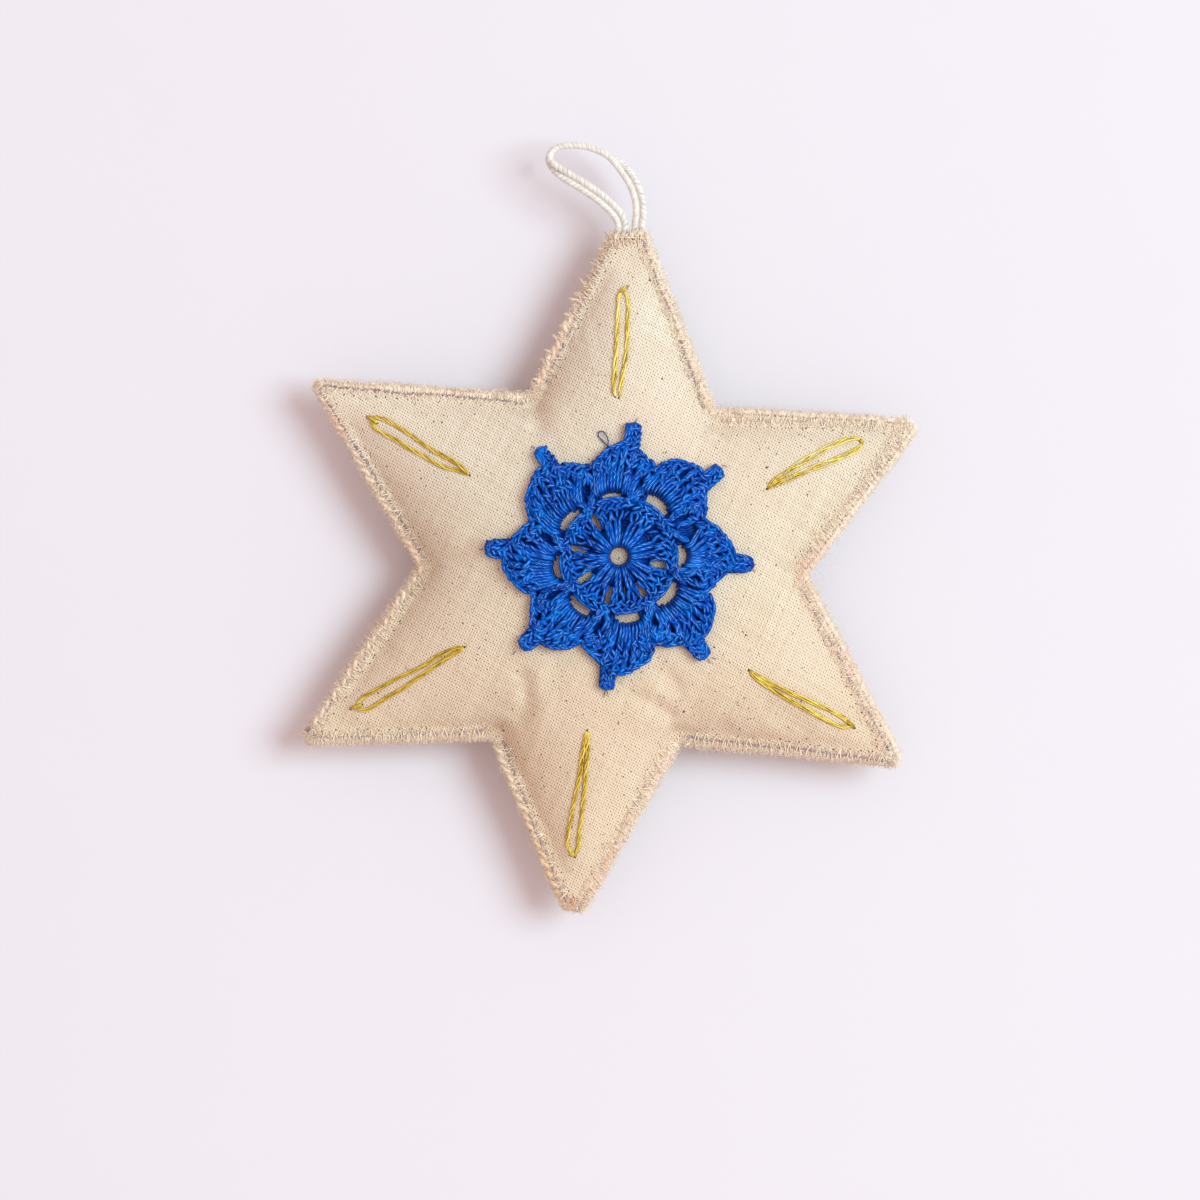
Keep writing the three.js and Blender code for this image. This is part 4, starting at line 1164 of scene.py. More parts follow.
def fray():
    """Broken cotton fibres that stand out of the overcast rim."""
    th = Threads()
    r = rng(77)
    # fibres drawn together into points
    for p, inward, u, arc, L, s, edge in rim_walk(0.15, 0.95, 0.4, 91):
        if at_top_tip(p, inward):
            continue
        reach = TUFT.get(edge, 0.6) * r.uniform(0.35, 1.15) + 0.2
        lean = r.normal(0, 0.3)
        z1 = r.uniform(-0.3, 0.7)
        stout = 1.6 if edge == 1 else 1.0
        point = p - inward * (reach + STAND.get(edge, 0.0)) + u * lean
        for k in range(r.integers(5, 10)):
            root = p + inward * r.uniform(0.1, 1.0) + u * r.uniform(-0.42, 0.42)
            zr = r.uniform(0.2, 0.85) * rim_half(p[1]) + 0.15
            tip_ = point + inward * r.uniform(-0.05, 0.35) + u * r.normal(0, 0.09)
            mid = root * 0.5 + tip_ * 0.5 + u * r.uniform(-0.1, 0.1)
            pts = [(root[0], root[1], SEAM_Z + zr), (mid[0], mid[1], SEAM_Z + (zr + z1) / 2 + 0.2), (tip_[0], tip_[1], SEAM_Z + z1 + r.uniform(-0.08, 0.08))]
            # painted light: tufts are painted lighter on edges that face right; those of edge 1 are lighter too
            th.add(smooth_path(pts, 6), np.linspace(r.uniform(0.055, 0.085), 0.03, 6) * stout, 4, tint=r.uniform(0.1, 0.6) + (0.35 if edge == 1 else 0.4 * facing(inward)))
    for p, inward, u, arc, L, s, edge in rim_walk(0.1, 0.085, 0.04, 9):
        thick = 0.5 + 0.35 * math.sin(arc / 17.0) + 0.35 * math.sin(arc / 5.3 + 1)
        if r.random() > 0.5 + 0.3 * thick:
            continue
        out = r.uniform(0.25, 0.9) * (0.8 + 0.45 * thick) + 0.2 * float(swell(arc))
        if r.random() < 0.04:
            out *= 1.8
        out = max(out + STAND.get(edge, 0.0), 0.12)
        curl = r.normal(0, 0.6)
        z0 = r.uniform(-0.8, 0.9)
        zz = z0 + r.normal(0, 0.5)
        a = p + inward * r.uniform(0.0, 1.3)
        b = p - inward * out * 0.6 + u * curl * 0.35
        c = p - inward * out + u * curl
        e = c + inward * r.uniform(-0.25, 0.45) + u * curl * 0.6
        z1 = SEAM_Z + z0 + 0.35
        pts = [(a[0], a[1], z1), (b[0], b[1], SEAM_Z + (z0 + zz) / 2 + 0.2), (c[0], c[1], SEAM_Z + zz), (e[0], e[1], SEAM_Z + zz + r.normal(0, 0.2))]
        # painted light: fibres are painted lighter on edges that face right
        th.add(smooth_path(pts, 6), np.linspace(r.uniform(0.035, 0.06), 0.018, 6), 3, tint=r.uniform(0.1, 0.6) + 0.4 * facing(inward))
    # fluff that lies on the overcasting
    for p, inward, u, arc, L, s, edge in rim_walk(0.0, 0.2, 0.08, 19):
        for face in (1,) * (1 + round(2.9 * facing(inward))) + (-1,):
            if r.random() < (0.1 if face > 0 else 0.6):
                continue
            a = r.uniform(0, 6.28)
            ln = r.uniform(0.5, 1.3)
            o0 = p + inward * r.uniform(-0.2, 2.1)
            # matted down on the edges that face right, loose elsewhere
            mat = face > 0 and facing(inward) > 0.5 and r.random() < 0.85
            if mat:
                a = r.choice((-1.0, 1.0)) * r.uniform(0.7, 1.3)
            top = rim_half(p[1]) + (r.uniform(0.04, 0.12) if mat else r.uniform(0.18, 0.36))
            pts = []
            for f in (0.0, 0.3, 0.65, 1.0):
                b = a + r.uniform(-0.5, 0.5) * (0.5 if mat else 1.0)
                c = o0 + (u * math.cos(b) + inward * math.sin(b)) * ln * (f - 0.5)
                deep = float((p - c) @ inward)
                z = top - 1.3 * max(0.0, deep) - (0.12 if f in (0.0, 1.0) else 0)
                if mat and deep < -0.9:
                    z = float(zf(c[0], c[1])) - SEAM_Z + top - rim_half(p[1]) - (0.1 if f in (0.0, 1.0) else 0.02)
                pts.append((c[0], c[1], SEAM_Z + face * z))
            # painted light: fluff is painted lighter on edges that face right, and matted fluff there most
            th.add(smooth_path(pts, 5), r.uniform(0.06, 0.09) if mat else r.uniform(0.03, 0.055), 4 if mat else 3, tint=r.uniform(0.2, 0.6) + (0.55 if mat else 0.4 * facing(inward)))
    o = th.make("frayed_edge_fibres", MAT_FRAY, "rim_thread")
    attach(o, "star")
    return o


fray()


# ---------------------------------------------------------------- gold stitches
# both sides of each stitch from its outer to its inner end in the 1200 frame, how far its fibres spread, how light it is, and its tie
GOLD_SIDES = {
    "top": ([(622.6, 291.2), (619.2, 294.6), (618.5, 304.8), (618.2, 319.7), (617.1, 334.6), (616.4, 349.5), (615.6, 364.4), (614.6, 379.3), (613.9, 391.2), (615.4, 397.0)],
            [(622.6, 291.2), (626.1, 294.8), (627.9, 300.3), (628.2, 312.3), (627.6, 324.2), (627.1, 337.6), (626.1, 352.5), (624.6, 364.4), (622.4, 376.3), (620.6, 388.2), (618.9, 398.0)],
            (0.2, 0.2, 0.24, 0.26, 0.3, 0.2), 0.62, [(618.8, 293.6), (622.6, 290.6), (625.6, 288.4), (627.8, 286.2)]),
    "upper_left": ([(370.4, 418.6), (375.9, 417.8), (383.3, 419.3), (393.7, 424.5), (405.7, 431.9), (417.6, 440.1), (429.5, 448.3), (441.4, 455.0), (451.9, 460.2), (460.8, 466.4), (469.6, 475.0)],
                   [(370.4, 418.6), (372.0, 422.8), (375.9, 428.4), (384.8, 433.6), (396.7, 440.3), (408.6, 447.8), (420.6, 454.5), (432.5, 461.4), (444.4, 467.1), (456.3, 470.2), (464.6, 473.2), (470.0, 475.4)],
                   (0.17, 0.18, 0.18, 0.18, 0.21, 0.17), 0.46, [(366.6, 416.6), (370.4, 418.0), (374.0, 420.6), (377.0, 423.6)]),
    "lower_left": ([(356.6, 706.1), (359.8, 701.2), (365.5, 696.4), (376.8, 689.9), (392.9, 681.0), (410.7, 672.5), (425.2, 664.9), (438.1, 656.0), (447.8, 651.2), (457.5, 648.2), (464.6, 647.2)],
                   [(356.6, 706.6), (360.6, 710.0), (367.1, 709.6), (373.5, 706.1), (386.5, 698.0), (402.6, 688.3), (422.0, 675.4), (438.1, 663.7), (451.0, 656.0), (460.7, 650.6), (464.8, 647.6)],
                   (0.17, 0.18, 0.17, 0.19, 0.22, 0.16), 0.42, [(350.4, 709.4), (354.4, 707.6), (358.6, 706.0), (362.4, 704.6)]),
    "bottom": ([(574.2, 855.6), (570.6, 851.0), (567.6, 843.5), (568.1, 835.5), (570.3, 822.6), (572.8, 809.6), (575.7, 795.1), (578.4, 782.2), (580.6, 769.3), (582.2, 756.3), (584.4, 741.8), (587.0, 730.4)],
               [(574.2, 855.6), (576.8, 851.6), (578.7, 845.2), (579.2, 835.5), (580.8, 822.6), (582.8, 806.4), (584.6, 790.3), (585.4, 777.3), (586.2, 766.0), (587.4, 754.7), (588.2, 741.8), (587.6, 730.2)],
               (0.17, 0.18, 0.18, 0.2, 0.24, 0.16), 0.5, [(570.6, 849.4), (573.0, 853.6), (574.8, 857.0)]),
    "lower_right": ([(853.0, 726.4), (846.6, 721.0), (841.4, 716.7), (831.7, 711.8), (818.8, 705.4), (802.6, 698.1), (786.5, 690.6), (770.3, 682.8), (757.4, 675.4), (748.8, 669.6)],
                    [(853.0, 726.4), (848.4, 726.4), (841.4, 726.4), (831.7, 722.8), (818.8, 715.9), (802.6, 706.6), (789.7, 699.6), (776.8, 691.8), (763.8, 683.6), (754.2, 676.4), (748.6, 670.2)],
                    (0.22, 0.22, 0.24, 0.26, 0.28, 0.2), 0.3, [(844.4, 718.4), (848.4, 722.4), (852.2, 725.8), (854.6, 728.2)]),
    "upper_right": ([(861.4, 441.6), (856.3, 438.5), (847.4, 439.6), (835.5, 444.6), (823.5, 450.2), (811.6, 456.9), (799.7, 464.2), (787.8, 471.6), (775.9, 479.6), (766.6, 488.8)],
                    [(861.6, 442.2), (859.3, 446.6), (850.4, 453.3), (838.4, 458.7), (826.5, 463.2), (814.6, 467.7), (801.2, 473.4), (789.3, 478.6), (777.4, 484.2), (766.8, 489.2)],
                    (0.22, 0.34, 0.42, 0.44, 0.38, 0.24), 0.62, [(858.8, 439.4), (861.2, 441.6), (862.4, 444.4)]),
}


# the length of one turn of the fibres about each other, in mm, where they are twisted and don't lie parallel
GOLD_TWIST = {"bottom": 5.2, "upper_left": 6.4, "top": 9.0}


def gold_stitch(name):
    """A loop of metal thread: each side is three smooth fibres, twisted or nearly parallel, held by a small tie at the outer end."""
    a, b, spread, light, tie = GOLD_SIDES[name]
    th = Threads()
    r = rng(len(name) * 7 + 1)
    for side in (a, b):
        q = np.array([px_on_front(*w) for w in side])
        n = 56
        s = smooth_path(np.column_stack([q, np.zeros(len(q))]), n)[:, :2]
        d = np.gradient(s, axis=0)
        d /= np.maximum(np.linalg.norm(d, axis=1, keepdims=True), 1e-9)
        v = np.column_stack([-d[:, 1], d[:, 0]])
        f = np.linspace(0, 1, n)
        wide = np.interp(f, np.linspace(0, 1, len(spread)), spread) * np.clip(np.minimum(f, 1 - f) / 0.06, 0.25, 1)
        run = np.concatenate([[0], np.cumsum(np.linalg.norm(np.diff(s, axis=0), axis=1))])
        tight = name in GOLD_TWIST
        twist = run / (GOLD_TWIST[name] * r.uniform(0.9, 1.1) if tight else r.uniform(17, 26)) * 2 * math.pi + r.uniform(0, 6)
        m = 4 if name == "lower_right" else 3
        for k in range(m):
            ang = twist + k * 2 * math.pi / m
            off = wide * (1.25 if name in ("upper_left", "lower_left", "bottom") else 0.9 if tight else 1.1) * np.cos(ang) + 0.03 * np.sin(run / 1.7 + k)
            lift = 0.2 + (0.12 if tight else 0.07) * np.sin(ang) + 0.02 * np.sin(run / 0.9 + 2 * k)
            lift = np.where(f < 0.02, 0.1, lift) - 0.5 * np.clip((f - 0.965) / 0.035, 0, 1) ** 2
            rad = r.uniform(0.145, 0.175) * (1.12 if tight or name == "lower_left" else 1.0) * (1 + 0.08 * np.sin(run / 1.3 + k * 2))
            th.add(on_front(s + v * off[:, None], lift), rad, 8, flat=0.85, tint=np.clip(light + (0.32 * (k - 1) + 0.05 if tight else 0.0) + r.uniform(-0.22, 0.22) * (0.4 if tight else 1.0) - (0.55 if name == "upper_right" else 0.12) * f ** 2, 0, 1))
    tq = np.array([px_on_front(*w) for w in tie])
    m = len(tq)
    rise = np.concatenate([[-0.12], np.linspace(0.55, 0.4, m - 2), [-0.12]])
    line = smooth_path(np.column_stack([tq, rise]), 14)
    for k in (-1, 0, 1):
        off = np.array([-(tq[-1] - tq[0])[1], (tq[-1] - tq[0])[0]])
        off = off / np.hypot(*off) * 0.17 * k
        th.add(on_front(line[:, :2] + off, line[:, 2]), 0.13, 7, tint=np.clip(light * 0.6 + r.uniform(-0.2, 0.1), 0, 1))
    # the holes in the cloth where the thread goes down: small dark patches of painted shade
    for w in (tie[0], tie[-1], a[-1], b[-1]):
        c = np.array(px_on_front(*w))
        e = r.uniform(-0.1, 0.1, 2)
        th.add(on_front(np.array([c - e - 0.08, c, c + e + 0.08]), np.array([0.0, 0.06, 0.0])), [0.12, 0.2, 0.12], 8, flat=0.4, tint=-1.0)
    o = th.make("gold_chain_stitch_" + name, MAT_GOLD, "gold_thread")
    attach(o, "star")
    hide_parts("gold_stitch_" + name)


for key in GOLD_SIDES:
    gold_stitch(key)

# ---------------------------------------------------------------- crochet motif
DEG = math.pi / 180
SECTORS = 8
# Angles about the motif's middle, clockwise from the top petal; each petal runs from the valley before it to its own.
VALLEYS = [111.5, 70.0, 27.2, -19.0, -65.6, -112.0, -153.3, -199.6, -248.5]
PICOTS = [86.9, 43.6, -0.4, -46.0, -92.4, -133.6, -180.4, -229.6]
GAPS = [82.5, 38.0, -8.5, -53.5, -101.5, -144.5, -186.0, -233.0]              # small holes in the first round
SMALL = [0.0, 0.0, 1.15, 0.6, 0.85, 0.8, 0.9, 0.55]                            # how far each of them is open
# arch holes: place across the petal, half width, lower and upper radius
HOLES = [(0.24, 2.5, 10.9, 11.9), (0.264, 2.7, 11.1, 13.1), (0.50, 1.9, 10.9, 12.7), (0.32, 2.5, 10.9, 12.8),
         (0.226, 2.6, 10.8, 12.6), (0.274, 2.6, 11.2, 12.8), (0.233, 2.2, 11.2, 12.5), (0.207, 2.7, 10.7, 12.4)]
PICOT_W = [3.6, 3.5, 4.3, 4.1, 3.5, 4.1, 4.5, 3.4]
PICOT_TAPER = [0.92, 0.86, 0.36, 0.5, 0.84, 0.36, 0.34, 0.7]
LEAN = [1.0, 0.0, 0.9, 0.0, 0.0, 0.0, 0.3, 0.15]                               # a slanted left shoulder instead of a round one
EDGE_T = [0.0, 0.05, 0.1, 0.17, 0.25, 0.33, 0.41, 0.5, 0.6, 0.66, 0.72, 0.79, 0.86, 0.93, 1.0]
EDGE_R = [17.3, 18.8, 19.6, 20.4, 21.0, 21.5, 21.85, 22.0, 21.2, 20.5, 19.9, 19.3, 18.7, 18.1, 17.4]
EDGE_S = [16.9, 17.3, 17.9, 18.8, 19.6, 20.25, 20.8, 21.3, 21.0, 20.4, 19.8, 19.2, 18.6, 18.0, 17.4]
SHRINK = (VIEW_D - 12.0) / VIEW_D                                              # the motif's height above the seam


def polar(r, deg):
    a = np.asarray(deg) * DEG
    return MOTIF + np.stack([np.asarray(r) * np.cos(a), np.asarray(r) * np.sin(a)], -1) * SHRINK


class Crochet:
    def __init__(self, seed):
        self.th = Threads()
        self.r = rng(seed)

    def strand(self, xy, lift, rad=0.3, n=12, sides=9, deep=0.0):
        xy = np.asarray(xy, float)
        lift = np.broadcast_to(np.asarray(lift, float), (len(xy),))
        q = smooth_path(np.column_stack([xy, lift]), n)
        q[:, 2] += 0.4 * np.clip((q[:, 2] - 0.25) / 0.6, 0, 1)
        if np.ndim(rad):
            rad = np.interp(np.linspace(0, 1, n), np.linspace(0, 1, len(rad)), rad)
        # deep paints the strand dark through a tint below zero: painted shade for strands that lie low under others
        self.th.add(on_front(q[:, :2], q[:, 2]), rad, sides, tint=-deep if deep else None)

    def blob(self, a, b, z, rad=0.34, bow=None, dip=0.5, n=11):
        """The loop end of a stitch: it comes up at a, lies over its neighbours and dives at b."""
        a, b = np.asarray(a, float), np.asarray(b, float)
        d = b - a
        bow = self.r.uniform(-0.12, 0.12) if bow is None else bow
        v = np.array([-d[1], d[0]]) * bow
        z = z + self.r.uniform(-0.08, 0.08)
        rr = rad * self.r.uniform(0.9, 1.08)
        pts = [a + d * f + v * math.sin(math.pi * f) for f in (0, 0.16, 0.5, 0.84, 1)]
        self.strand(pts, [z - dip, z - 0.06, z + 0.08, z - 0.06, z - dip], [rr * 0.65, rr * 0.95, rr, rr * 0.95, rr * 0.65], n)

    def herring(self, path, pitch, z, length=1.8, slant=27, rad=0.32, gap=0.6, jitter=0.08, rows=(1, -1), drop=0.0, flat=0):
        """Chain stitches seen from above: two rows of short strands that lean to each other along a path."""
        p = smooth_path(path, 100)
        s = np.concatenate([[0], np.cumsum(np.hypot(*np.diff(p, axis=0).T))])
        tan = np.gradient(p, axis=0)
        tan /= np.linalg.norm(tan, axis=1, keepdims=True)
        k = max(1, round(s[-1] / pitch))
        for i in range(k):
            for row in rows:
                if self.r.random() < drop:
                    continue
                at = np.clip((i + 0.5 + 0.22 * row) / k * s[-1] + self.r.uniform(-jitter, jitter), 0, s[-1])
                c = np.array([np.interp(at, s, p[:, j]) for j in (0, 1)])
                t = np.array([np.interp(at, s, tan[:, j]) for j in (0, 1)])
                nrm = np.array([-t[1], t[0]])
                a = math.radians(slant + self.r.uniform(-9, 9)) if row != flat else math.radians(self.r.uniform(3, 15))
                d = t * math.cos(a) - nrm * (row * math.sin(a))
                c = c + nrm * (row * gap / 2 + self.r.uniform(-jitter, jitter))
                ln = length * self.r.uniform(0.85, 1.15)
                zz = z if np.ndim(z) == 0 else float(np.interp(at / s[-1], np.linspace(0, 1, len(z)), z))
                self.blob(c - d * ln / 2, c + d * ln / 2, zz, rad)

    def cords(self, pts, spread, lift, count=2, rad=0.29, n=16, base_rad=0.9):
        """Strands of a stitch side by side along pts."""
        p = smooth_path(pts, 24)
        t = np.gradient(p, axis=0)
        t /= np.linalg.norm(t, axis=1, keepdims=True)
        v = np.stack([-t[:, 1], t[:, 0]], -1)
        f = np.linspace(0, 1, 24)
        sp = np.interp(f, np.linspace(0, 1, len(spread)), spread)
        for k in range(count):
            off = k - (count - 1) / 2
            bow = self.r.uniform(-0.07, 0.07)
            h = np.interp(f, np.linspace(0, 1, len(lift)), lift) + self.r.uniform(-0.09, 0.1)
            q = p + v * (off * sp + bow * np.sin(f * np.pi))[:, None]
            self.strand(q, h, [rad * base_rad, rad, rad * 1.14, rad * 1.2, rad * 1.1], n)


def motif():
    c = Crochet(99)
    r = c.r
    for k in range(SECTORS):
        g0, g1 = GAPS[k], (GAPS[k + 1] if k + 1 < SECTORS else GAPS[0] - 360)
        span = g0 - g1
        # first round: two trebles to a sector that dive into the middle ring
        for j in (0, 1):
            base = g0 - span * (0.26 + 0.48 * j) + r.uniform(-1, 1)
            top = g0 - span * (0.31 + 0.38 * j) + r.uniform(-2, 2)
            mid = (base + top) / 2
            c.cords([polar(1.72, base), polar(2.5, base), polar(4.6, mid), polar(7.0, top)], [0.3, 0.52, 0.66, 0.7],
                    [-0.1, 1.2, 1.42, 1.42, 1.3, 1.2, 1.12, 1.05, 0.9, 0.7], 2, 0.33, 20, 0.66)
            if r.random() < 0.8:
                c.blob(polar(5.0, mid + r.choice((-1, 1)) * 5), polar(6.9, mid - r.uniform(-6, 6)), 1.25, 0.32)
            # its head parts and leans to both sides
            for q in (-1, 1):
                c.blob(polar(6.3, top + q * 2.5), polar(8.5, top + q * r.uniform(5.5, 8.0)), 1.12, 0.34, 0.1 * q)
            c.blob(polar(6.9, top - 1), polar(9.0, top + r.uniform(-3, 3)), 1.0, 0.31)
        # thinner strands between them, which keep the middle closed
        for j in range(4):
            a = g0 - span * (0.02 + 0.245 * j) + r.uniform(-1.5, 1.5)
            c.strand([polar(1.75, a), polar(2.5, a), polar(4.0, a + r.uniform(-2, 2)), polar(5.4 if j % 2 == 0 else 6.8, a)], [-0.1, 0.85, 0.85, 0.3], [0.17, 0.26, 0.3, 0.26], 14)
        for j in range(6):
            a = g0 - span * (j + 0.5) / 6
            far = 5.8 if j in (0, 5) else 8.6
            # painted shade: low strands between the trebles are painted dark
            c.strand([polar(2.2, a), polar(4.5, a), polar(far, a)], [0.2, 0.25, 0.2], [0.2, 0.32, 0.45], 8, deep=0.9)
        # small hole: bare where it is open, covered where it is shut
        if SMALL[k] < 0.1:
            for rr in (6.3, 7.0, 7.7, 8.4, 9.1):
                # painted shade: these covering strands are painted dark
                c.strand([polar(rr, g0 + 9), polar(rr + 0.1, g0), polar(rr, g0 - 9)], [0.1, 0.22, 0.1], 0.42, 9, deep=0.95)
            c.blob(polar(6.6, g0 + 5), polar(8.6, g0 - 3), 0.75, 0.3)
        else:
            edge = 2.2 + 4.4 * SMALL[k]
            for q in (-1, 1):
                for rr in (6.6, 7.5, 8.4, 9.2):
                    # painted shade: the strands beside the hole are painted dark
                    c.strand([polar(rr - 0.5, g0 + q * (edge + 3.4)), polar(rr, g0 + q * (edge + 3.0)), polar(rr + 0.5, g0 + q * (edge + 3.2))], [0.1, 0.25, 0.15], 0.42, 7, deep=0.75)
                c.blob(polar(5.6, g0 + q * 3.6), polar(7.8, g0 + q * (edge + 1.6)), 0.95, 0.3)
                c.blob(polar(7.4, g0 + q * (edge + 2.2)), polar(9.4, g0 + q * (edge + 0.4)), 0.9, 0.3)
        # second round: a row of short stitches
        arc = [polar(9.75, g0 - span * f) for f in np.linspace(-0.02, 1.02, 9)]
        c.herring(arc, 1.3, 1.08, 1.75, 36, 0.33, 0.75, 0.12, drop=0.06)
        lower = [polar(8.75, g0 - span * f) for f in np.linspace(0.2, 0.8, 6)]
        c.herring(lower, 1.25, 0.95, 1.6, 40, 0.3, 0.55, 0.14, drop=0.1)
        for j in range(9):
            a = g0 - span * (j + 0.5) / 9
            inner = 9.3 if min(j, 8 - j) < 1 else 7.6
            # painted shade: low strands between the short stitches are painted dark
            c.strand([polar(inner, a), polar(10.0, a + r.uniform(-2, 2)), polar(10.6, a)], [0.15, 0.3, 0.2], 0.5, 8, deep=0.9)

    for k in range(SECTORS):
        hi, lo = VALLEYS[k], VALLEYS[k + 1]
        wide = hi - lo
        ht, hw, hb, hr = HOLES[k]
        hdeg = hw / (0.5 * (hb + hr)) / DEG           # the hole's half width in degrees
        pic = (hi - PICOTS[k]) / wide
        pw, taper = PICOT_W[k], PICOT_TAPER[k]
        edge_r = np.array(EDGE_R) * (1 - LEAN[k]) + np.array(EDGE_S) * LEAN[k]

        def at(t, rad):
            return polar(rad, hi - t * wide)

        def rim(t):
            return float(np.interp(t, EDGE_T, edge_r))

        th = hdeg / wide                              # the hole's half width along the petal
        left, right = ht - th, ht + th
        # the long chain under the hole: two smooth strands, and a few stitches that lap over them
        for q, z in ((0.3, 0.95), (0.85, 0.8)):
            c.strand([at(left - 0.1, hb - q - 0.4), at(left, hb - q), at(ht, hb - q + 0.08), at(right, hb - q), at(right + 0.1, hb - q - 0.4)], [0.5, z, z + 0.1, z, 0.5], 0.3, 18)
        # trebles that stand side by side over the arch
        n = 6
        for j in range(n):
            f = j / (n - 1)
            tb = left + 0.03 + (right - left - 0.03) * f
            base = hr + 0.3 - 0.75 * abs(2 * f - 1) ** 3
            tt = 0.07 + (pic - 0.05) * f
            top = rim(tt) - 1.1
            half = 16.6 + r.uniform(-0.7, 0.8)
            tm = tb + (tt - tb) * (half - base) / (top - base)
            step = (right - left) / n * wide * DEG * (base + 1) / 2
            c.cords([at(tb, base - 0.3), at(tb, base + 0.9), at((tb + tm) / 2, (base + half) / 2 + 0.3), at(tm, half), at(tm + (tt - tb) * 0.1, half + 1.0)],
                    [step * 0.95, step, step * 1.15, step * 1.2, step * 1.1], [-0.2, 1.25, 1.45, 1.45, 1.4, 1.28, 1.18, 1.05, 0.8, 0.5], 2, 0.28, 22, 1.0)
            # yarn over: it crosses the post
            s = 1 if r.random() < 0.75 else -1
            c.blob(at(tm - s * 0.035, half - 0.9), at(tm + s * 0.04, half + r.uniform(0.5, 1.0)), 1.42, 0.34)
            # the post's upper strands
            for q in (-1, 1):
                if r.random() < 0.12:
                    continue
                w = 0.028
                c.blob(at(tm + q * 0.022 + 0.01, half - 0.1), at(tt + q * w + 0.02, top + r.uniform(-0.3, 0.3)), 1.2 + 0.08 * q, 0.35, 0.05 * q, 0.45, 12)
            c.blob(at(tt - 0.03, top - 1.4), at(tt + 0.045, top + 0.15), 1.3, 0.33)
            c.strand([at(tm, half - 0.5), at((tm + tt) / 2, (half + top) / 2), at(tt, top + 0.3)], [0.7, 0.85, 0.7], 0.36, 9)
        # trebles that lean out from the joint
        jx = right + 0.05
        for j, (tb, rb, tm, rm, tt) in enumerate(((jx, hr + 0.2, pic + 0.02, 15.8, pic + 0.07), (jx + 0.05, hr - 0.3, pic + 0.13, 15.5, 0.79), (jx + 0.1, hr - 0.9, 0.5 * (pic + 0.92), 14.9, 0.92))):
            rt = rim(min(tt, 1.0)) - 1.1
            c.cords([at(tb, rb - 0.4), at(tb + 0.01, rb + 0.8), at((tb + tm) / 2, (rb + rm) / 2 + 0.4), at(tm, rm)], [0.5, 0.52, 0.58, 0.6], [-0.1, 1.3, 1.45, 1.2, 0.6], 2, 0.29, 16, 1.0)
            s = 1 if r.random() < 0.5 else -1
            c.blob(at(tm - s * 0.04, rm - 0.9), at(tm + s * 0.045, rm + 0.7), 1.42, 0.34)
            for q in (-1, 1):
                c.blob(at(tm + q * 0.022, rm - 0.1), at(tt + q * 0.03, rt + r.uniform(-0.2, 0.2)), 1.18, 0.35, 0.06 * q, 0.45, 12)
            c.blob(at(tt + 0.03, rt - 1.4), at(tt - 0.05, rt + 0.1), 1.3, 0.32)
        # short fat loops that crowd over the upper half of the petal, turned every way
        for frac, keep in ((-0.16, 0.45), (0.14, 0.8), (0.42, 0.9), (0.7, 0.85)):
            tq = 0.09 + r.uniform(0, 0.05)
            while tq < 0.96:
                foot = 15.9 if tq < pic + 0.05 else 15.3
                rq = foot + (rim(tq) - 1.6 - foot) * frac + r.uniform(-0.25, 0.25)
                if abs(tq - 1.0) > 0.05 and r.random() < keep:
                    o = at(tq, rq)
                    w = (o - MOTIF) / np.hypot(*(o - MOTIF))
                    a = math.radians(r.choice((-1, 1)) * r.uniform(12, 62))
                    e = np.array([w[0] * math.cos(a) - w[1] * math.sin(a), w[0] * math.sin(a) + w[1] * math.cos(a)])
                    ln = r.uniform(1.35, 2.0)
                    c.blob(o - e * ln / 2, o + e * ln / 2, r.uniform(1.32, 1.52), r.uniform(0.33, 0.39), r.uniform(-0.2, 0.2), 0.55)
                tq += (1.25 + r.uniform(-0.2, 0.35)) / (wide * DEG * rq)
        # the last stitch curls round the pit and back to the joint
        c.cords([at(0.85, rim(0.86) - 2.2), at(0.95, 15.4), at(0.93, 13.4), at(0.84, 11.4)], [0.5, 0.5, 0.46, 0.4], [0.5, 1.0, 1.1, 0.9, 0.4], 2, 0.3, 16)
        c.blob(at(0.98, 15.9), at(0.88, 14.2), 1.25, 0.33)
        c.blob(at(0.9, 13.3), at(0.97, 11.7), 1.2, 0.32)
        c.blob(at(0.71, 16.6), at(0.86, 16.1), 1.3, 0.34)
        c.blob(at(0.8, 17.0), at(0.93, 16.4), 1.2, 0.33)
        # what lies under it all, painted dark as painted shade
        for t1 in np.arange(0.02, 1.03, 0.055):
            t0 = np.clip(t1, left, 1.0)
            r0 = hr + 0.5 if t1 < right + 0.06 else 11.0
            c.strand([at(t0, r0), at((t0 + t1) / 2, 14.5), at(t1, 16.5), at(t1, rim(min(t1, 1)) - 0.6)], [0.05, 0.05, 0.08, 0.1], [0.36, 0.45, 0.5, 0.3], 9, deep=0.95)
        for t1 in np.arange(0.0, left - 0.02, 0.05):
            c.strand([at(t1, 10.2), at(t1, 12.5), at(t1, 15.5)], [0.05, 0.1, 0.1], 0.45, 8, deep=0.9)
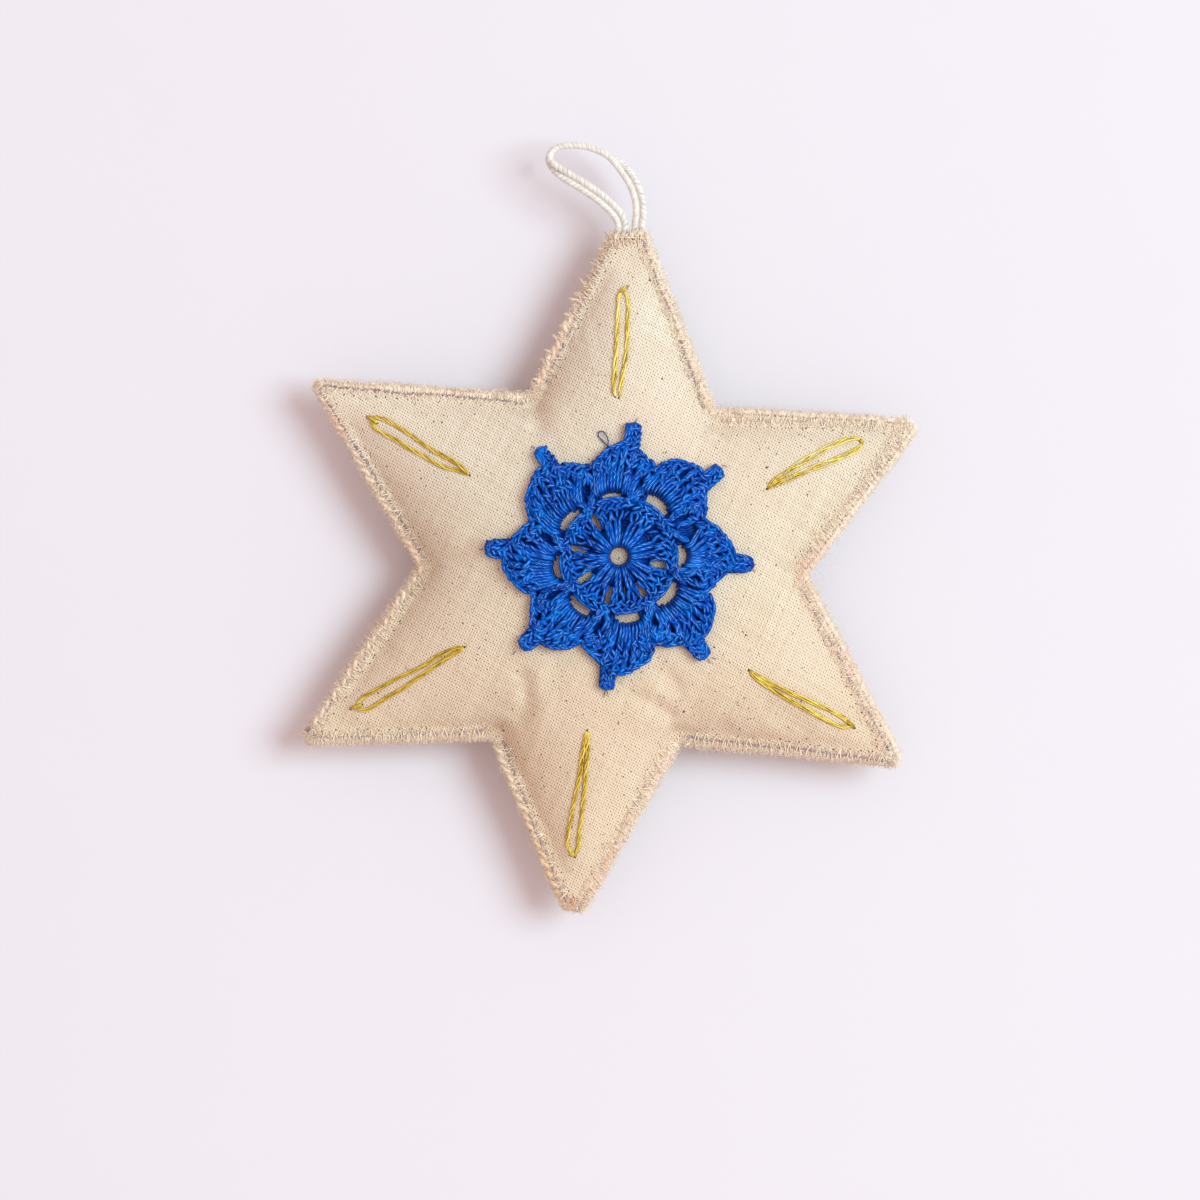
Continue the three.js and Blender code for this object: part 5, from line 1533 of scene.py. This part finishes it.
        # joint to the second round: slanted bundles that meet over the small hole's outer side
        m = (hi - GAPS[k]) / wide
        nt, nw, nb, nr = HOLES[(k + 1) % SECTORS]
        nwide = (VALLEYS[k + 1] - (VALLEYS[k + 2] if k + 2 <= SECTORS else VALLEYS[1] - 360))
        na = VALLEYS[k + 1] - (nt - nw / (0.5 * (nb + nr)) / DEG / nwide) * nwide            # left end of the next hole
        for j in range(3):
            q = (j - 1) * 0.55
            c.strand([at(right + 0.05 + 0.04 * j, hr + 0.3 + 0.2 * j), at(0.5 * (right + 0.08 + m) + 0.03 * j, 0.5 * (hb + hr) - 0.3), polar(10.4, GAPS[k] + q * 4 + 3), polar(9.8, GAPS[k] + q * 4)],
                     [0.7, 1.15 + 0.1 * (j % 2), 1.1, 0.6], 0.31, 12)
            c.strand([polar(nr + 0.9 - 0.3 * j, na + 1.5 + 1.6 * j), polar(12.0, na + 3.4 + 1.8 * j), polar(10.9, (na + GAPS[k]) / 2 + q * 4), polar(10.0, GAPS[k] + q * 4 - 2)],
                     [0.65, 1.1 + 0.1 * (j % 2), 1.1, 0.55], 0.31, 12)
        for j in range(3):
            a0 = GAPS[k] + (na + 2 - GAPS[k]) * (j + 0.3) / 3
            c.blob(polar(10.2 + 0.5 * j, a0 + 4), polar(11.6 + 0.5 * j, a0 - 4), 1.22, 0.32)
        for j in range(7):
            a = right + 0.06 + (1.04 - right - 0.06) * (j + 0.5) / 7
            # painted shade: low strands beside the arch are painted dark
            c.strand([at(a, 10.2), at(a, 11.6), at(a, 13.2)], [0.1, 0.2, 0.1], 0.46, 8, deep=0.9)
        # chained edge: up the left shoulder, down the right flank
        wig = [r.uniform(-0.14, 0.14) for _ in range(18)]
        c.strand([at(t, rim(t) - 0.3 + wig[i]) for i, t in enumerate(np.linspace(-0.01, pic - 0.04, 9))], 0.5, 0.33, 24)
        c.strand([at(t, rim(t) - 0.3 + wig[9 + i]) for i, t in enumerate(np.linspace(pic + 0.07, 1.01, 9))], 0.5, 0.33, 24)
        c.herring([at(t, rim(t) - 0.68) for t in np.linspace(0.0, pic - 0.04, 9)], 1.25, [0.75, 1.0, 1.05, 1.0], 1.9, 30, 0.36, 0.62, 0.08, flat=1)
        c.herring([at(t, rim(t) - 0.66) for t in np.linspace(pic + 0.09, 1.0, 8)], 1.25, [1.0, 1.0, 0.9, 0.75], 1.9, 30, 0.36, 0.62, 0.08, flat=1)
        c.herring([at(t, rim(t) - 1.55) for t in np.linspace(0.1, pic - 0.06, 8)], 1.6, 1.2, 1.7, 48, 0.31, 0.3, 0.2, rows=(1,), drop=0.15)
        c.herring([at(t, rim(t) - 1.5) for t in np.linspace(pic + 0.1, 0.94, 7)], 1.6, 1.2, 1.7, 48, 0.31, 0.3, 0.2, rows=(-1,), drop=0.15)
        # picot
        r0, r1 = 20.4, 24.75
        base_dir = polar(1, PICOTS[k]) - MOTIF
        u = base_dir / np.hypot(*base_dir)
        v = np.array([u[1], -u[0]])                # to the right as seen from the middle

        def pp(rad, x):
            """x from -0.5 to 0.5 across the picot, which narrows towards its end."""
            f = np.interp(rad, [r0, r0 + 1.6, 23.4, r1], [1.0, 0.9, 0.86 if taper > 0.6 else 0.8, taper])
            return MOTIF + (u * rad + v * (x * (pw - 0.66) * f)) * SHRINK

        square = taper > 0.6
        for x in ((-0.48, -0.3, -0.1) if square else (-0.5, -0.28)):
            c.strand([pp(r0 - 0.8, x), pp(r0 + 1.0, x + r.uniform(-0.03, 0.03)), pp(r1 - 1.3, x), pp(r1 - 0.4, x), pp(r1 - 0.25, x * 0.95)],
                     [0.45, 0.85, 0.95 + r.uniform(0, 0.15), 0.75, 0.1], 0.31, 16)
        c.herring([pp(r1 - 0.5, 0.26), pp(r1 - 2.0, 0.26), pp(r0 + 1.0, 0.26), pp(r0 - 0.5, 0.28)], 1.15, 1.0, 1.55, 32, 0.35, 0.6, 0.1)
        if not square:
            c.herring([pp(r0 - 0.3, -0.18), pp(r0 + 2.0, -0.16), pp(r1 - 0.8, 0.0)], 1.05, 1.2, 1.5, 38, 0.36, 0.62, 0.14)
            c.blob(pp(r1 - 1.9, -0.52), pp(r1 - 0.5, -0.1), 1.0, 0.36)
            c.blob(pp(r1 - 0.5, 0.1), pp(r1 - 1.8, 0.52), 1.0, 0.36)
        else:
            c.blob(pp(r0 + 0.6, -0.46), pp(r0 + 2.0, -0.1), 1.2, 0.34)
            c.blob(pp(r0 + 2.4, -0.1), pp(r1 - 0.6, -0.36), 1.15, 0.34)
        c.strand([pp(r1 - 0.6, -0.5), pp(r1 - 0.3, -0.2), pp(r1 - 0.3, 0.2), pp(r1 - 0.6, 0.5)], [0.3, 0.75, 0.75, 0.3], 0.31, 12)
        c.blob(pp(r1 - 1.3, -0.5), pp(r1 - 0.9, 0.5), 1.12, 0.31)
        for x in (-0.42, -0.2, 0.0, 0.2, 0.42):
            # painted shade: low strands across the picot are painted dark
            c.strand([pp(r0 - 0.8, x), pp(22.4, x), pp(r1 - 0.7, x)], [0.1, 0.2, 0.1], 0.4, 8, deep=0.85)
        # strands that slant over the picot's foot
        c.blob(at(pic - 0.11, rim(pic - 0.1) - 1.0), pp(r0 + 0.9, 0.1), 1.35, 0.34)
        c.blob(pp(r0 - 0.9, -0.3), pp(r0 + 0.2, 0.5), 1.4, 0.34)
        c.blob(at(pic - 0.03, rim(pic - 0.04) - 2.6), pp(r0 - 0.4, 0.42), 1.32, 0.33)
        c.blob(at(pic + 0.12, rim(pic + 0.1) - 0.9), pp(r0 + 0.5, -0.1), 1.2, 0.33)
    o = c.th.make("crochet_snowflake", MAT_BLUE, "crochet_cotton")
    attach(o, "star")
    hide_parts("crochet_motif")
    return o


motif()

# ---------------------------------------------------------------- tacking stitches and the loose thread
WHISKERS = {1: [((634.5, 423), (637.5, 418.5))], 2: [((722, 466), (727, 468))], 3: [((751, 569), (755, 572)), ((751, 566), (756, 564))],
            4: [((712, 657), (716.5, 659)), ((708, 659), (711, 663))], 5: [((605, 690), (602.8, 698)), ((606, 690), (608, 696))],
            6: [((516, 651), (512, 655)), ((525, 626), (523, 627))], 7: [((484, 549), (480, 549.5))], 8: [((535, 449), (532.5, 447.5))]}


def tacks():
    for k in range(8):
        th = Threads()
        a = PICOTS[k]
        w = 0.62
        side = 1.3 / 24 / DEG
        q = [polar(23.7, a + side), polar(23.75, a + side * 0.6), polar(23.8, a), polar(23.75, a - side * 0.6), polar(23.7, a - side)]
        th.add(on_front(smooth_path(np.column_stack([q, [0.0, 0.8, 1.02, 0.8, 0.0]]), 16)[:, :2], smooth_path(np.column_stack([q, [0.0, 0.8, 1.02, 0.8, 0.0]]), 16)[:, 2]), 0.07, 6)
        for (x0, y0), (x1, y1) in WHISKERS[k + 1]:
            p0, p1 = px_on_front(x0, y0, 0.4), px_on_front(x1, y1, 0.3)
            m = (p0 + p1) / 2 + rng(k).uniform(-0.1, 0.1, 2)
            th.add(on_front(np.array([p0, m, p1]), np.array([0.35, 0.4, 0.25])), np.array([0.08, 0.07, 0.035]), 5)
        o = th.make(f"tacking_stitch_{k + 1}", MAT_TACK, "tacking_thread")
        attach(o, "star")
        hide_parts(f"tack_stitch_{k + 1}")


tacks()


def loose_thread():
    th = Threads()
    pts = [(608.5, 447.5), (605.5, 444), (601.5, 440), (598.6, 436), (598.8, 432.8), (602, 431.6), (605.4, 434), (607.6, 438.5), (608.4, 443), (608.2, 447)]
    q = np.array([px_on_front(*p, 0.4) for p in pts])
    lift = np.array([0.5, 0.35, 0.3, 0.3, 0.35, 0.4, 0.5, 0.55, 0.6, 0.6])
    s = smooth_path(np.column_stack([q, lift]), 40)
    th.add(on_front(s[:, :2], s[:, 2]), 0.115, 7)
    o = th.make("loose_crochet_loop", MAT_LOOSE, "crochet_cotton")
    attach(o, "star")
    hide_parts("loose_crochet_thread")


MAT_LOOSE = cotton("loose_thread", srgb(26, 40, 112), srgb(62, 84, 170), 0.6, 0.5, 0.2, 2, 0.4, 0.00003, 0.4, 0.4)
loose_thread()

# ---------------------------------------------------------------- hanging loop
BRAID_W, BRAID_T = 2.7, 1.3
LOOP = np.array([
    [-0.9, 55.5, 8.6], [-0.85, 58.5, 8.6], [-0.78, 62.0, 8.6],
    [-0.72, 64.4, 8.6], [-0.9, 65.8, 8.6], [-2.0, 67.5, 8.9], [-4.7, 69.75, 9.4], [-8.4, 72.0, 9.5], [-11.6, 73.7, 9.2],
    [-13.9, 75.2, 8.8], [-14.9, 76.9, 8.4], [-14.0, 78.6, 8.2], [-11.6, 79.4, 8.3], [-8.0, 79.3, 8.6],
    [-4.2, 78.0, 9.0], [-1.2, 75.7, 9.3], [0.9, 73.0, 9.4], [2.1, 70.1, 9.2], [2.45, 67.6, 8.9], [2.38, 65.8, 8.6],
    [2.35, 64.4, 8.6], [2.3, 62.0, 8.6], [2.25, 58.5, 8.6], [2.2, 55.5, 8.6]])


def hanging_loop():
    path = smooth_path(LOOP, 400)
    s = np.concatenate([[0], np.cumsum(np.linalg.norm(np.diff(path, axis=0), axis=1))])
    total = s[-1]
    t = np.gradient(path, axis=0)
    t /= np.linalg.norm(t, axis=1, keepdims=True)
    # the braid lies flat by the seam and stands on edge round the bend
    far = np.clip((s / total - 0.33) / 0.12, 0, 1) * np.clip((0.73 - s / total) / 0.12, 0, 1)
    far = far * far * (3 - 2 * far)
    twist = far * math.radians(84)
    side0 = np.cross(t, [0, 0, 1.0])
    side0 /= np.linalg.norm(side0, axis=1, keepdims=True)
    up0 = np.cross(side0, t)
    side = side0 * np.cos(twist)[:, None] + up0 * np.sin(twist)[:, None]
    up = -side0 * np.sin(twist)[:, None] + up0 * np.cos(twist)[:, None]

    def frame_at(d):
        f = np.clip(d, 0, total)
        out = []
        for arr in (path, side, up, t):
            out.append(np.stack([np.interp(f, s, arr[:, k]) for k in range(3)], -1))
        return out

    th = Threads()
    # two cores
    for w in (-0.66, 0.66):
        th.add(path + side * w, 0.34, 8, tint=0.4)
    pitch = 0.9
    count = int((total - 1.5) / pitch)
    r = rng(12)
    for k in range(count):
        for sgn in (-1, 1):
            d0 = (k + (0.5 if sgn > 0 else 0.0)) * pitch
            # from the middle groove, over the ridge, round the outside and back under
            a = np.radians(np.array([212, 180, 150, 120, 90, 60, 30, 0, -30, -60, -90, -120, -150, -180, -212]))
            u = (0.66 + 0.48 * np.cos(a)) * sgn
            h = 0.47 * np.sin(a)
            adv = np.linspace(0, 1.9, len(a)) + r.uniform(-0.04, 0.04)
            P, S, U, T = frame_at(d0 + adv)
            q = P + S * u[:, None] + U * h[:, None]
            up_q = S * (np.cos(a) * sgn)[:, None] + U * np.sin(a)[:, None]
            th.add(q, 0.45, 10, flat=0.36, tint=float((k * 0.37 + 0.5 * (sgn > 0)) % 1.0), up=up_q)
    o = th.make("hanging_loop_braid", MAT_BRAID, "soutache")
    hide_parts("hanging_loop", "loop_end_left", "loop_end_right")
    return o, path, total


braid, braid_path, braid_len = hanging_loop()
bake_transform(braid)

# ---------------------------------------------------------------- floor, light
def floor():
    n = Nodes("pale_floor")
    co = n.node("ShaderNodeTexCoord").outputs["Object"]
    a = n.noise(co, 2.2, 3.0)
    b = n.noise(co, 60.0, 4.0)
    f = n.math("ADD", n.math("MULTIPLY", a, 0.8), n.math("MULTIPLY", b, 0.2))
    m = n.finish(n.mix(f, srgb(227, 222, 229), srgb(233, 228, 234)), 0.6, n.bump(b, 0.05, 0.0002), **{"Specular IOR Level": 0.3})
    v = np.array([[-1500, -1500, -0.02], [1500, -1500, -0.02], [1500, 1500, -0.02], [-1500, 1500, -0.02]], float)
    o = build("floor", v, np.array([[0, 1, 2, 3]]), m, smooth=False)


floor()


def area(name, loc, target, size, power, color):
    d = bpy.data.lights.new(name, "AREA")
    d.shape = "DISK"
    d.size = size
    d.energy = power
    d.color = color
    o = bpy.data.objects.new(name, d)
    o.location = loc
    o.rotation_euler = (Vector(target) - Vector(loc)).to_track_quat("-Z", "Y").to_euler()
    bpy.context.scene.collection.objects.link(o)
    return o


KEY_AZ, KEY_EL, KEY_D = math.radians(16), math.radians(50), 2.4
area("key", (KEY_D * math.cos(KEY_AZ) * math.cos(KEY_EL), KEY_D * math.sin(KEY_AZ) * math.cos(KEY_EL), KEY_D * math.sin(KEY_EL)), (0, 0, 0), 1.516, 46.3, (0.662, 0.918, 0.985))

world = bpy.data.worlds.new("world")
bpy.context.scene.world = world
world.use_nodes = True
bg = world.node_tree.nodes["Background"]
bg.inputs[0].default_value = (1.0, 0.795, 0.75, 1)
bg.inputs[1].default_value = 0.77

bpy.context.scene.view_settings.view_transform = "Standard"
bpy.context.scene.view_settings.look = "None"
